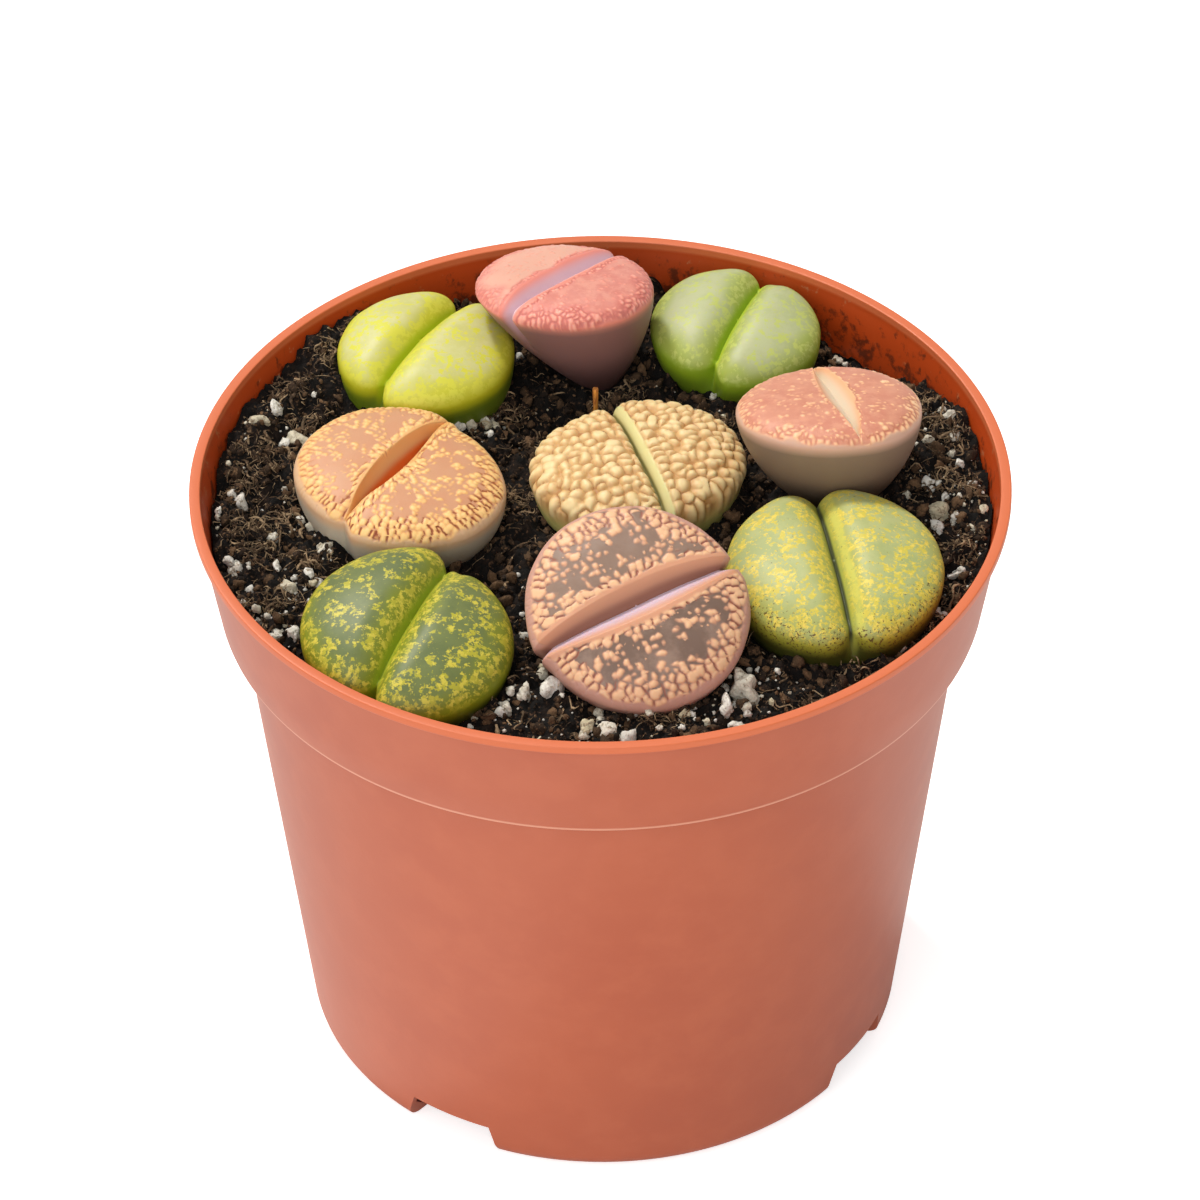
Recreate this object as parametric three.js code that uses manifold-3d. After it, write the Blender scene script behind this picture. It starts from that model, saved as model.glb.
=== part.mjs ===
// Nine lithops (living stones) in a 120 mm moulded plastic nursery pot.
// Millimetres, +Z up. The origin is on the ground under the middle of the pot, and -Y is the front.
import * as THREE from "three";
import { mergeVertices } from "three/addons/utils/BufferGeometryUtils.js";
import Module from "manifold-3d";

const wasm = await Module();
wasm.setup();

// ---- Driving dimensions ----

const RIM_RADIUS = 60;
const POT_HEIGHT = 96.6;
const LIP_THICKNESS = 1.6;
const LIP_CORNER = 0.35; // rounding of the lip's two edges
const WALL = 1.1;
const SIDES = 64; // of everything turned about the pot's axis

const COLLAR_BOTTOM = 78;
const COLLAR_BOTTOM_RADIUS = 56.4;
const COLLAR_TOP_RADIUS = RIM_RADIUS - 0.6;
const BODY_TOP_RADIUS = 53.6;
const BODY_FOOT_RADIUS = 44.7;

const FLOOR_UNDERSIDE = 6;
const FLOOR_THICKNESS = 1.4;
const FOOT_CORNER = 3; // rounding between the wall and the foot
const FOOT_FLAT = 1.6; // width of the flat ring that the pot stands on
const FEET = 4;
const NOTCH_MIDDLE = -31; // degrees from the front, turning towards +X
const NOTCH_HALF_TOP = 8.3; // degrees
const NOTCH_HALF_BOTTOM = 10.8; // degrees
const DRAIN_HOLES = 6;
const DRAIN_RADIUS = 4;
const DRAIN_CIRCLE = 27;

const GAP = 0.3; // between neighbouring pieces
const SOIL_LEVEL = 90;
const HOLE_CLEARANCE = 0.85; // round each plant: the hole has fewer sides than the plant
const HOLE_SIDES = 22;
const HOLE_RINGS = 12;

const degrees = THREE.MathUtils.degToRad;
const clamp = THREE.MathUtils.clamp;
const smooth = (x) => THREE.MathUtils.smoothstep(x, 0, 1);

// ---- Solids ----

// A closed geometry as a solid that can be cut and joined.
function solid(geometry) {
  const bare = geometry.clone();
  bare.deleteAttribute("normal");
  bare.deleteAttribute("uv");
  const merged = mergeVertices(bare, 1e-4);
  return new wasm.Manifold(
    new wasm.Mesh({
      numProp: 3,
      vertProperties: new Float32Array(merged.attributes.position.array),
      triVerts: new Uint32Array(merged.index.array),
    }),
  );
}

// The solid back as a geometry.
function geometryOf(made) {
  const mesh = made.getMesh();
  const geometry = new THREE.BufferGeometry();
  geometry.setAttribute("position", new THREE.BufferAttribute(mesh.vertProperties, 3));
  geometry.setIndex(new THREE.BufferAttribute(mesh.triVerts, 1));
  geometry.computeVertexNormals();
  return geometry;
}

// A profile of [radius, height] points turned about +Z.
function turned(points) {
  const profile = points.map(([radius, height]) => new THREE.Vector2(radius, height));
  return new THREE.LatheGeometry(profile, SIDES).rotateX(Math.PI / 2);
}

// Points on an arc, from one angle to another in degrees.
function arc(centreRadius, centreHeight, radius, from, to, steps) {
  return Array.from({ length: steps + 1 }, (_, i) => {
    const angle = degrees(from + ((to - from) * i) / steps);
    return [centreRadius + radius * Math.cos(angle), centreHeight + radius * Math.sin(angle)];
  });
}

// A repeatable random stream.
function seeded(seed) {
  let state = seed;
  return () => {
    state = (Math.imul(state, 1664525) + 1013904223) >>> 0;
    return state / 2 ** 32;
  };
}

// ---- Pot ----

const bodyRadius = (z) => BODY_FOOT_RADIUS + ((BODY_TOP_RADIUS - BODY_FOOT_RADIUS) * z) / COLLAR_BOTTOM;
const collarSlope = (COLLAR_TOP_RADIUS - COLLAR_BOTTOM_RADIUS) / (POT_HEIGHT - COLLAR_BOTTOM);
const collarRadius = (z) => COLLAR_BOTTOM_RADIUS + collarSlope * (z - COLLAR_BOTTOM);
const LIP_INNER_RADIUS = RIM_RADIUS - LIP_THICKNESS;
const LIP_UNDERSIDE = POT_HEIGHT - 1.2; // where the lip stands proud of the collar
const LEDGE_TOP = COLLAR_BOTTOM + WALL; // the inner ledge behind the step

// The outline of the moulded wall: up the outside, over the lip, down the inside and under the floor.
function potProfile() {
  const footRadius = bodyRadius(FOOT_CORNER);
  const skirtInner = bodyRadius(FLOOR_UNDERSIDE) - WALL;
  return [
    [0, FLOOR_UNDERSIDE],
    [skirtInner, FLOOR_UNDERSIDE],
    [footRadius - WALL, FOOT_CORNER + 0.4],
    [footRadius - FOOT_CORNER - FOOT_FLAT, 0],
    ...arc(footRadius - FOOT_CORNER, FOOT_CORNER, FOOT_CORNER, -90, 0, 3),
    [bodyRadius(COLLAR_BOTTOM - 0.5), COLLAR_BOTTOM - 0.5],
    [BODY_TOP_RADIUS + 0.4, COLLAR_BOTTOM - 0.1],
    [COLLAR_BOTTOM_RADIUS - 0.4, COLLAR_BOTTOM - 0.1],
    [COLLAR_BOTTOM_RADIUS, COLLAR_BOTTOM + 0.3],
    [collarRadius(LIP_UNDERSIDE - 0.4), LIP_UNDERSIDE - 0.4],
    [RIM_RADIUS, LIP_UNDERSIDE],
    ...arc(RIM_RADIUS - LIP_CORNER, POT_HEIGHT - LIP_CORNER, LIP_CORNER, 0, 90, 2),
    ...arc(LIP_INNER_RADIUS + LIP_CORNER, POT_HEIGHT - LIP_CORNER, LIP_CORNER, 90, 180, 2),
    [LIP_INNER_RADIUS, LIP_UNDERSIDE],
    [collarRadius(LIP_UNDERSIDE - 0.8) - WALL, LIP_UNDERSIDE - 0.8],
    [collarRadius(LEDGE_TOP) - WALL, LEDGE_TOP],
    [BODY_TOP_RADIUS - WALL, LEDGE_TOP - 0.6],
    [bodyRadius(FLOOR_UNDERSIDE + FLOOR_THICKNESS) - WALL, FLOOR_UNDERSIDE + FLOOR_THICKNESS],
    [0, FLOOR_UNDERSIDE + FLOOR_THICKNESS],
  ];
}

// One notch between two feet: a wedge that is a little wider at the ground.
function notch(middle) {
  const near = BODY_FOOT_RADIUS - 10;
  const far = BODY_FOOT_RADIUS + 10;
  const wedge = new THREE.BoxGeometry(1, far - near, FLOOR_UNDERSIDE + 1);
  wedge.translate(0, -(near + far) / 2, (FLOOR_UNDERSIDE - 1) / 2);
  const place = wedge.attributes.position;
  for (let i = 0; i < place.count; i += 1) {
    const half = place.getZ(i) > 0 ? NOTCH_HALF_TOP : NOTCH_HALF_BOTTOM;
    place.setX(i, Math.sign(place.getX(i)) * -place.getY(i) * Math.tan(degrees(half)));
  }
  return wedge.rotateZ(degrees(middle));
}

function drainHole(angle) {
  const hole = new THREE.CylinderGeometry(DRAIN_RADIUS, DRAIN_RADIUS, 4 * FLOOR_THICKNESS, 12);
  hole.rotateX(Math.PI / 2);
  hole.translate(0, -DRAIN_CIRCLE, FLOOR_UNDERSIDE + FLOOR_THICKNESS / 2);
  return hole.rotateZ(degrees(angle));
}

function pot() {
  let made = solid(turned(potProfile()));
  for (let i = 0; i < FEET; i += 1) {
    made = made.subtract(solid(notch(NOTCH_MIDDLE + (360 / FEET) * i)));
  }
  for (let i = 0; i < DRAIN_HOLES; i += 1) {
    made = made.subtract(solid(drainHole((360 / DRAIN_HOLES) * i)));
  }
  return geometryOf(made);
}

// ---- Lithops ----

// Each plant is a pair of fleshy leaves grown into one body, parted by a fissure.
// at: middle of the widest ring. lean: slope of the top towards +X and +Y.
// fissure: its direction in degrees from +X. left, right, long: half widths across and along the fissure.
// dome: height of the top over the ring, with flatness 2 for a dome and more for a flat top.
// depth: from the ring down to the root end. taper: 2 is a bowl, less is a cone.
// groove: the fissure's width to one side, depth and shape (2 a crease between pillows, under 1 a slot).
// lens: how far the groove closes towards its ends. slip, grow: right lobe moved or longer along the fissure.
// skew: how far the root end is moved sideways from under the ring.
const PLAIN = { lens: 0, slip: 0, grow: 0, skew: [0, 0], sides: 32, rings: 13 };
const PLANTS = {
  lithops_lime: {
    at: [-26.8, 32.9, 95.3], lean: [-0.02, -0.02], fissure: 58, left: 12.3, right: 14.4, long: 12.9,
    dome: 5, flatness: 2.3, depth: 14.4, taper: 2.2, groove: [6, 3, 2], grow: 0.1, slip: -0.4,
    colour: 0xb9c838,
  },
  lithops_pink: {
    at: [-5.2, 37.2, 103.4], lean: [0, 0.19], fissure: 50, left: 13.5, right: 13.5, long: 13,
    dome: 2.8, flatness: 4, depth: 18.5, taper: 1.25, groove: [2, 1.6, 1.2], lens: 0.4, skew: [5.6, 1.5],
    colour: 0xd0776c, sides: 36, rings: 14,
  },
  lithops_pale: {
    at: [20.9, 39.3, 94.3], lean: [0, -0.05], fissure: 68, left: 13.2, right: 13, long: 12.7,
    dome: 4.6, flatness: 2.3, depth: 14, taper: 1.8, groove: [6, 3, 2], slip: -1.3,
    colour: 0xaebd76,
  },
  lithops_tan: {
    at: [34.6, 6.7, 103.8], lean: [0, 0.22], fissure: 104, left: 14.9, right: 12.4, long: 13,
    dome: 3.1, flatness: 3.4, depth: 18, taper: 1.55, groove: [2, 1.4, 1], lens: 0.9, skew: [0.5, 2.5],
    colour: 0xcd8f78, sides: 36, rings: 14,
  },
  lithops_orange: {
    at: [-29.7, 3.3, 95.1], lean: [0.02, -0.02], fissure: 57, left: 15.3, right: 17.4, long: 14.5,
    dome: 3.4, flatness: 3.5, depth: 16, taper: 1.8, groove: [1.9, 3.2, 0.7], lens: 0.9, slip: -1.5,
    colour: 0xd99a63, sides: 36, rings: 14,
  },
  lithops_cream: {
    at: [5.6, 5.2, 94.3], lean: [0, 0], fissure: 108, left: 16, right: 16, long: 14.1,
    dome: 4, flatness: 3, depth: 15, taper: 1.8, groove: [1.8, 1.8, 2], slip: 0.6,
    knobs: { spacing: 3.1, height: 0.7, from: 0 }, colour: 0xdcc98c, sides: 52, rings: 23,
  },
  lithops_green: {
    at: [-27, -31.2, 94], lean: [-0.02, -0.12], fissure: 66, left: 16, right: 15.5, long: 15.6,
    dome: 6, flatness: 2.3, depth: 15, taper: 1.9, groove: [6.5, 3.4, 2], slip: -2.6,
    colour: 0x7f8b3c,
  },
  lithops_mauve: {
    at: [4.9, -32.2, 98.4], lean: [0.04, -0.5], fissure: 30, left: 16.2, right: 16, long: 15.6,
    dome: 3.8, flatness: 2.8, depth: 17, taper: 1.7, groove: [2.6, 2.2, 1.1], lens: 0.3, slip: 0.6,
    skew: [0, 2], knobs: { spacing: 3.2, height: 0.5, from: 0.62 }, colour: 0xc59480, sides: 44, rings: 17,
  },
  lithops_yellow: {
    at: [33.4, -19.6, 95.2], lean: [0, -0.08], fissure: 99, left: 15.5, right: 16, long: 16.2,
    dome: 5.2, flatness: 2.3, depth: 15, taper: 1.9, groove: [6.5, 3, 2],
    colour: 0xb4b65f,
  },
};

const TOP_SHARE = 0.62; // share of the rings that lie on the top
const GROOVE_FADE = 0.45; // the groove runs out this far down the side, as a share of the depth
const RING_PULL = 0.22; // draws the sides towards the ends of the fissure
const LOBE_BLEND = 3; // over this width the right lobe takes its own slip and length

// Rounded knobs with narrow furrows between them: how far a point is inside its cell, 0 to 1.
function knobbly(x, y, spacing) {
  const draw = (i, j, k) => {
    const value = Math.sin(i * 127.1 + j * 311.7 + k * 74.7) * 43758.5453;
    return value - Math.floor(value);
  };
  let nearest = 9;
  let second = 9;
  const column = Math.floor(x / spacing);
  const row = Math.floor(y / spacing);
  for (let i = column - 1; i <= column + 1; i += 1) {
    for (let j = row - 1; j <= row + 1; j += 1) {
      const away = Math.hypot(x / spacing - i - draw(i, j, 1), y / spacing - j - draw(i, j, 2));
      second = Math.min(second, Math.max(nearest, away));
      nearest = Math.min(nearest, away);
    }
  }
  return smooth(clamp((second - nearest) * 2, 0, 1));
}

// The plant's body as a ball whose points are moved to a dome, a rounded margin and a tapered side.
function lithops(settings, clearance = 0) {
  const plant = { ...PLAIN, ...settings };
  const hole = clearance > 0;
  const ball = hole
    ? new THREE.SphereGeometry(1, HOLE_SIDES, HOLE_RINGS)
    : new THREE.SphereGeometry(1, plant.sides, plant.rings);
  const up = new THREE.Vector3(plant.lean[0], plant.lean[1], 1).normalize();
  const heading = degrees(plant.fissure);
  const along = new THREE.Vector3(Math.cos(heading), Math.sin(heading), 0);
  along.addScaledVector(up, -along.dot(up)).normalize();
  const across = new THREE.Vector3().crossVectors(along, up);
  const [grooveWidth, grooveDepth, groovePower] = plant.groove;

  const place = ball.attributes.position;
  for (let i = 0; i < place.count; i += 1) {
    const share = Math.acos(clamp(place.getY(i), -1, 1)) / Math.PI;
    const onTop = share <= TOP_SHARE;
    const fall = onTop ? share / TOP_SHARE : 1 + (share - TOP_SHARE) / (1 - TOP_SHARE);
    const sine = Math.sin((Math.PI / 2) * fall);
    const cosine = Math.cos((Math.PI / 2) * fall);
    const down = onTop ? 0 : -cosine;
    const flat = Math.atan2(-place.getZ(i), place.getX(i));
    const turn = flat + RING_PULL * Math.sin(2 * flat);
    const outX = Math.cos(turn);
    const outY = Math.sin(turn);

    const reach = onTop ? sine : Math.max(1 - down ** plant.taper, 0) ** (1 / plant.taper);
    let x = reach * (outX > 0 ? plant.right : plant.left) * outX;
    let y = reach * plant.long * outY;
    let z = onTop ? plant.dome * Math.sqrt(Math.max(1 - sine ** plant.flatness, 0)) : -plant.depth * down;

    // Outward direction of the surface, for the groove, the knobs and the clearance.
    const pushOut = onTop ? sine ** 4 : smooth(3 * reach);
    const pushUp = onTop ? cosine : cosine * (1 - 0.7 * pushOut);
    const push = Math.hypot(pushOut, pushUp);
    const fade = 1 - smooth(down / GROOVE_FADE);
    const width = Math.max(grooveWidth * (1 - plant.lens * (y / plant.long) ** 2), 0.05);
    const groove = fade * grooveDepth * Math.max(1 - Math.abs(x) / width, 0) ** groovePower;
    let move = hole ? clearance : -groove;
    if (plant.knobs && !hole) {
      const { spacing, height, from } = plant.knobs;
      const zone = smooth((reach - from) / 0.2 + (from > 0 ? 0 : 1)) * smooth((Math.abs(x) - 1) / 1.5);
      move += fade * zone * height * (knobbly(x, y, spacing) - 0.5);
    }
    const lobe = smooth(x / LOBE_BLEND) * (1 - down);
    y += lobe * (plant.slip + plant.grow * y);
    x += (move * pushOut * outX) / push;
    y += (move * pushOut * outY) / push;
    z += (move * pushUp) / push;

    const point = new THREE.Vector3(...plant.at);
    point.addScaledVector(across, x).addScaledVector(along, y).addScaledVector(up, z);
    point.x += plant.skew[0] * down;
    point.y += plant.skew[1] * down;
    place.setXYZ(i, point.x, point.y, point.z);
  }
  return ball;
}

// ---- Dry stalk ----

const STALK = { from: [-1.2, 21.5, 84], to: [-0.6, 21.2, 97], foot: 0.3, tip: 0.42 };

// A thin, slightly bent dry stalk with a thicker tip.
function stalk(clearance = 0) {
  const start = new THREE.Vector3(...STALK.from);
  const end = new THREE.Vector3(...STALK.to);
  const length = start.distanceTo(end);
  const tall = length + 2 * clearance;
  const made = new THREE.CylinderGeometry(STALK.tip + clearance, STALK.foot + clearance, tall, 8, 5);
  const place = made.attributes.position;
  for (let i = 0; i < place.count; i += 1) {
    const share = place.getY(i) / length + 0.5;
    const bend = 0.4 * Math.sin(Math.PI * share);
    place.setX(i, place.getX(i) + bend);
  }
  made.rotateX(Math.PI / 2);
  made.translate(0, 0, length / 2);
  const aim = new THREE.Quaternion().setFromUnitVectors(
    new THREE.Vector3(0, 0, 1),
    end.clone().sub(start).normalize(),
  );
  made.applyQuaternion(aim);
  made.translate(...STALK.from);
  return made;
}

// ---- Soil with its perlite ----

const SOIL_TOP_RINGS = 10;
const SOIL_EDGE = collarRadius(SOIL_LEVEL) - WALL - GAP;

// Heaps and hollows of the surface: [degrees from the back towards +X, radius, spread, height].
const HEAPS = [
  [-44, 56, 9, 4.2],
  [-68, 56, 10, 3.2],
  [70, 56, 11, 3.6],
  [100, 55, 10, 1.8],
  [46, 54, 8, -3],
  [-5, 27, 7, -2.2],
  [-100, 42, 5, 1.5],
  [176, 54, 14, 0.8],
];

function soilHeight(x, y) {
  let height = SOIL_LEVEL;
  for (const [bearing, radius, spread, rise] of HEAPS) {
    const dx = x - radius * Math.sin(degrees(bearing));
    const dy = y - radius * Math.cos(degrees(bearing));
    height += rise * Math.exp(-(dx * dx + dy * dy) / (2 * spread * spread));
  }
  height += 0.45 * Math.sin(0.55 * x + 1.3) * Math.cos(0.5 * y + 0.4);
  height += 0.3 * Math.sin(1.1 * x - 0.7 * y) + 0.25 * Math.cos(0.9 * y + 1.2 * x + 2);
  return height;
}

function soilBlock() {
  const bottom = FLOOR_UNDERSIDE + FLOOR_THICKNESS + GAP;
  const inner = (z) => bodyRadius(z) - WALL - GAP;
  const rings = Array.from({ length: SOIL_TOP_RINGS }, (_, i) => [
    (SOIL_EDGE * (SOIL_TOP_RINGS - i)) / SOIL_TOP_RINGS,
    SOIL_LEVEL,
  ]);
  const block = turned([
    [0, bottom],
    [inner(bottom), bottom],
    [inner(LEDGE_TOP), LEDGE_TOP],
    [collarRadius(LEDGE_TOP) - WALL - GAP, LEDGE_TOP + 2 * GAP],
    ...rings,
    [0, SOIL_LEVEL],
  ]);
  const place = block.attributes.position;
  for (let i = 0; i < place.count; i += 1) {
    if (place.getZ(i) < SOIL_LEVEL - 1) continue;
    const x = place.getX(i);
    const y = place.getY(i);
    const height = soilHeight(x, y);
    const flare = Math.hypot(x, y) > SOIL_EDGE - 0.1 ? (collarSlope * (height - SOIL_LEVEL)) / SOIL_EDGE : 0;
    const stretch = 1 + flare;
    place.setXYZ(i, x * stretch, y * stretch, height);
  }
  return block;
}

// Perlite lies in drifts: [degrees from the back towards +X, radius, spread, how many, mean size].
const DRIFTS = [
  [180, 51, 3.5, 7, 1.6],
  [199, 45, 4, 7, 1.4],
  [160, 50, 4, 5, 1.8],
  [-117, 52, 3.5, 7, 1.6],
  [-96, 50, 5, 5, 1.3],
  [-65, 48, 4, 5, 1.6],
  [92, 52, 4, 6, 1.5],
  [112, 54, 3, 4, 1.2],
  [70, 52, 4, 4, 1.2],
  [-45, 22, 3, 3, 1.4],
];
const CHIP_ROOM = 1.2; // a chip's edge stays this far from a plant or the wall
const CHIP_SUNK = 0.15; // its middle lies this share of its radius below the surface

function chips(blocked) {
  const draw = seeded(11);
  const middle = () => draw() + draw() + draw() - 1.5;
  const placed = [];
  for (const [bearing, radius, spread, count, size] of DRIFTS) {
    for (let i = 0; i < count; i += 1) {
      const x = radius * Math.sin(degrees(bearing)) + spread * 1.6 * middle();
      const y = radius * Math.cos(degrees(bearing)) + spread * 1.6 * middle();
      const chip = size * (0.75 + 0.6 * draw());
      const turn = new THREE.Euler(draw() * 6, draw() * 6, draw() * 6);
      const squash = [0.8 + 0.4 * draw(), 0.7 + 0.4 * draw(), 0.7 + 0.3 * draw()];
      const crowded = placed.some((other) => Math.hypot(other.x - x, other.y - y) < other.chip + chip);
      if (Math.hypot(x, y) + chip > SOIL_EDGE - CHIP_ROOM || crowded || blocked(x, y, chip)) continue;
      placed.push({ x, y, chip, turn, squash });
    }
  }
  return placed.map(({ x, y, chip, turn, squash }) => {
    const nugget = new THREE.IcosahedronGeometry(chip, 0);
    nugget.scale(...squash);
    nugget.applyMatrix4(new THREE.Matrix4().makeRotationFromEuler(turn));
    return nugget.translate(x, y, soilHeight(x, y) - CHIP_SUNK * chip);
  });
}

// True where a chip would touch a plant's widest ring, seen from above.
function nearPlant(x, y, chip) {
  return Object.values(PLANTS).some((plant) => {
    const reach = (plant.left + plant.right) / 2 + chip + CHIP_ROOM;
    return Math.hypot(x - plant.at[0], y - plant.at[1]) < reach;
  });
}

function soil() {
  let made = solid(soilBlock());
  for (const chip of chips(nearPlant)) {
    made = made.add(solid(chip));
  }
  for (const plant of Object.values(PLANTS)) {
    made = made.subtract(solid(lithops(plant, HOLE_CLEARANCE)));
  }
  made = made.subtract(solid(stalk(GAP)));
  return geometryOf(made);
}

// ---- Assembly ----

const material = (color, roughness) => new THREE.MeshStandardMaterial({ color, roughness, metalness: 0 });

function piece(name, geometry, finish) {
  const mesh = new THREE.Mesh(geometry, finish);
  mesh.name = name;
  return mesh;
}

const pottedLithops = new THREE.Group();
pottedLithops.add(piece("pot", pot(), material(0xc36c52, 0.45)));
pottedLithops.add(piece("soil", soil(), material(0x2b211a, 0.95)));
for (const [name, plant] of Object.entries(PLANTS)) {
  pottedLithops.add(piece(name, geometryOf(solid(lithops(plant))), material(plant.colour, 0.5)));
}
pottedLithops.add(piece("dry_stalk", geometryOf(solid(stalk())), material(0xb5743a, 0.8)));

export default pottedLithops;
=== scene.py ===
# %% [markdown]
# # A pot of living stones
# Nine lithops stand in a 120 mm nursery pot. A lithops, or living stone, is a pair of swollen desert
# leaves that have grown into one plump body with a fissure between them. The pot is moulded plastic
# the colour of terracotta, and it is filled with dark peat and white perlite.
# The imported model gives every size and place. This script makes the detailed surfaces round it.

import math
import random
from functools import lru_cache
from types import SimpleNamespace

import bmesh
import bpy
import numpy as np
from mathutils import Euler, Matrix, Vector, noise


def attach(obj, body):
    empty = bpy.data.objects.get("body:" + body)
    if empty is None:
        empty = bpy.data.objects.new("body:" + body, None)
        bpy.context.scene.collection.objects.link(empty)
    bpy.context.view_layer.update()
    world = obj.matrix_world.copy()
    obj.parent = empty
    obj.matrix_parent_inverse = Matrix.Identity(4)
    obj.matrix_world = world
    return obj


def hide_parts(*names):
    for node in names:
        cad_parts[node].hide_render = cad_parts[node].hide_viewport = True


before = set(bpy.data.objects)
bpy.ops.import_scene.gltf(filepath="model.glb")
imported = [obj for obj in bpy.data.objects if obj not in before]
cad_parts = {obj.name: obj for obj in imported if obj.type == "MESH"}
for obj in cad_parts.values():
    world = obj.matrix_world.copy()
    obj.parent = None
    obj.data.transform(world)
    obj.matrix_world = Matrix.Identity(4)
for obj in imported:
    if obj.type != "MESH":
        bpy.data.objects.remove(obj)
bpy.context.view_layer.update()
print("nodes:", ", ".join(sorted(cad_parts)))

# %% [markdown]
# ## Camera
# The pot is seen from the front and from about 40 degrees above, through a long lens from almost a
# metre away. A long lens keeps the far side of the rim nearly as wide as the near side. The picture
# was held a little askew, so the camera rolls by less than half a degree.

# %% Camera at the photograph's viewing angle
MM = 0.001
CAMERA_PLACE = (0, -749.5 * MM, 693.3 * MM)
CAMERA_ABOVE = 39.576  # degrees above the horizon
CAMERA_ROLL = -0.441  # degrees
LENS = 196.9  # mm on a 36 mm sensor


def into_scene(name, data):
    """Puts a camera, a lamp or a mesh in the scene as an object."""
    made = bpy.data.objects.new(name, data)
    bpy.context.scene.collection.objects.link(made)
    return made


lens = bpy.data.cameras.new("camera")
lens.lens = LENS
lens.sensor_width = 36
lens.shift_x = -0.001
lens.clip_start = 0.05
camera = into_scene("camera", lens)
tilt = Matrix.Rotation(math.radians(90 - CAMERA_ABOVE), 4, "X")
roll = Matrix.Rotation(math.radians(CAMERA_ROLL), 4, "Z")
camera.matrix_world = Matrix.Translation(CAMERA_PLACE) @ tilt @ roll
bpy.context.scene.camera = camera
print("camera", [round(value, 3) for value in camera.location])

# %% [markdown]
# ## Helpers for materials
# Colours are written as the screen shows them and turned to linear light once, here. Small functions
# add shader nodes, and one lays coats of colour over each other, as a painter would: each coat has a
# mask that says where it shows.

# %% Colours and shader nodes
PER_MM = 1000  # Object coordinates are in metres, so a pattern of 1 mm has this scale


def colour(code):
    """A screen colour such as "c36c52" as linear light."""
    shares = [int(code[i : i + 2], 16) / 255 for i in (0, 2, 4)]
    linear = [s / 12.92 if s <= 0.04045 else ((s + 0.055) / 1.055) ** 2.4 for s in shares]
    return (*linear, 1)


def add(tree, kind, inputs=None, **settings):
    """Adds one shader node. A value for an input is a number, a colour or another node's output."""
    made = tree.nodes.new("ShaderNode" + kind)
    for name, value in settings.items():
        setattr(made, name, value)
    for name, value in (inputs or {}).items():
        if isinstance(value, bpy.types.NodeSocket):
            tree.links.new(value, made.inputs[name])
        else:
            made.inputs[name].default_value = value
    return made


def start_material(name, roughness, ior, **sockets):
    """A material with its shader, its node tree and the piece's own coordinates."""
    material = bpy.data.materials.new(name)
    material.use_nodes = True
    tree = material.node_tree
    tree.nodes.clear()
    shader = add(tree, "BsdfPrincipled", {"Roughness": roughness, "IOR": ior, **sockets})
    add(tree, "OutputMaterial", {"Surface": shader.outputs["BSDF"]})
    return material, tree, shader, add(tree, "TexCoord").outputs["Object"]


def attribute(tree, name):
    """A mask that is written on the mesh."""
    return add(tree, "Attribute", attribute_name=name).outputs["Fac"]


def times(tree, first, second):
    """Two masks, or a mask and a number, multiplied."""
    return add(tree, "Math", {0: first, 1: second}, operation="MULTIPLY").outputs[0]


def speckle(tree, place, size, detail, rough=0.5):
    """Noise between 0 and 1 whose swings are about size mm wide."""
    inputs = {"Vector": place, "Scale": PER_MM / size, "Detail": detail, "Roughness": rough}
    return add(tree, "TexNoise", inputs).outputs["Fac"]


def ramp(tree, value, low, high, kind="LINEAR"):
    """0 to 1 while a value goes from low to high."""
    span = {"Value": value, "From Min": low, "From Max": high}
    return add(tree, "MapRange", span, interpolation_type=kind).outputs["Result"]


def patches(tree, place, size, low, high, detail=3.0, rough=0.55, more=None):
    """A mask of soft-edged patches about size mm wide. more is a mask that raises them, and by how much."""
    field = speckle(tree, place, size, detail, rough)
    if more is not None:
        terms = {0: more[0], 1: more[1], 2: field}
        field = add(tree, "Math", terms, operation="MULTIPLY_ADD").outputs[0]
    return ramp(tree, field, low, high, "SMOOTHSTEP")


def paint(tree, shader, ground, coats):
    """Lays coats of colour over a ground. Each coat is its mask and its colour."""
    tone = colour(ground)
    for mask, code in coats:
        tone = add(tree, "Mix", {0: mask, 6: tone, 7: colour(code)}, data_type="RGBA").outputs[2]
    tree.links.new(tone, shader.inputs["Base Color"])


def bumps(tree, shader, heights):
    """Stacks fine reliefs on a shader. Each is a height socket, its depth in mm and a strength."""
    below = {}
    for height, depth, strength in heights:
        inputs = {"Height": height, "Distance": depth * MM, "Strength": strength, **below}
        below = {"Normal": add(tree, "Bump", inputs).outputs["Normal"]}
    tree.links.new(below["Normal"], shader.inputs["Normal"])


# %% [markdown]
# ## Helpers for pieces
# Every piece rides on the body "root", stands for one node of the imported model, whose part it
# hides, and carries one material made here. Its place is in its mesh, in metres.

# %% Pieces
triangles = {}


def add_piece(name, mesh, material, node, crease=40):
    """Puts a mesh in the scene as a piece that stands for a node."""
    piece = into_scene(name, mesh)
    mesh.materials.clear()
    mesh.materials.append(material)
    mesh.shade_smooth()
    if crease:
        mesh.set_sharp_from_angle(angle=math.radians(crease))
    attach(piece, "root")
    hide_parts(node)
    triangles[name] = sum(len(face.vertices) - 2 for face in mesh.polygons)
    print(f"{name}: {triangles[name]} triangles")


def mesh_from(bm, name):
    """A finished bmesh as a mesh."""
    mesh = bpy.data.meshes.new(name)
    bm.to_mesh(mesh)
    bm.free()
    return mesh


def points_of(mesh):
    """A mesh's points in mm, as an array."""
    flat = np.zeros(len(mesh.vertices) * 3)
    mesh.vertices.foreach_get("co", flat)
    return flat.reshape(-1, 3) / MM


def move_points(mesh, points):
    """Puts a mesh's points where an array in mm says."""
    mesh.vertices.foreach_set("co", (points * MM).astype(np.float32).ravel())
    mesh.update()


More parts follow.
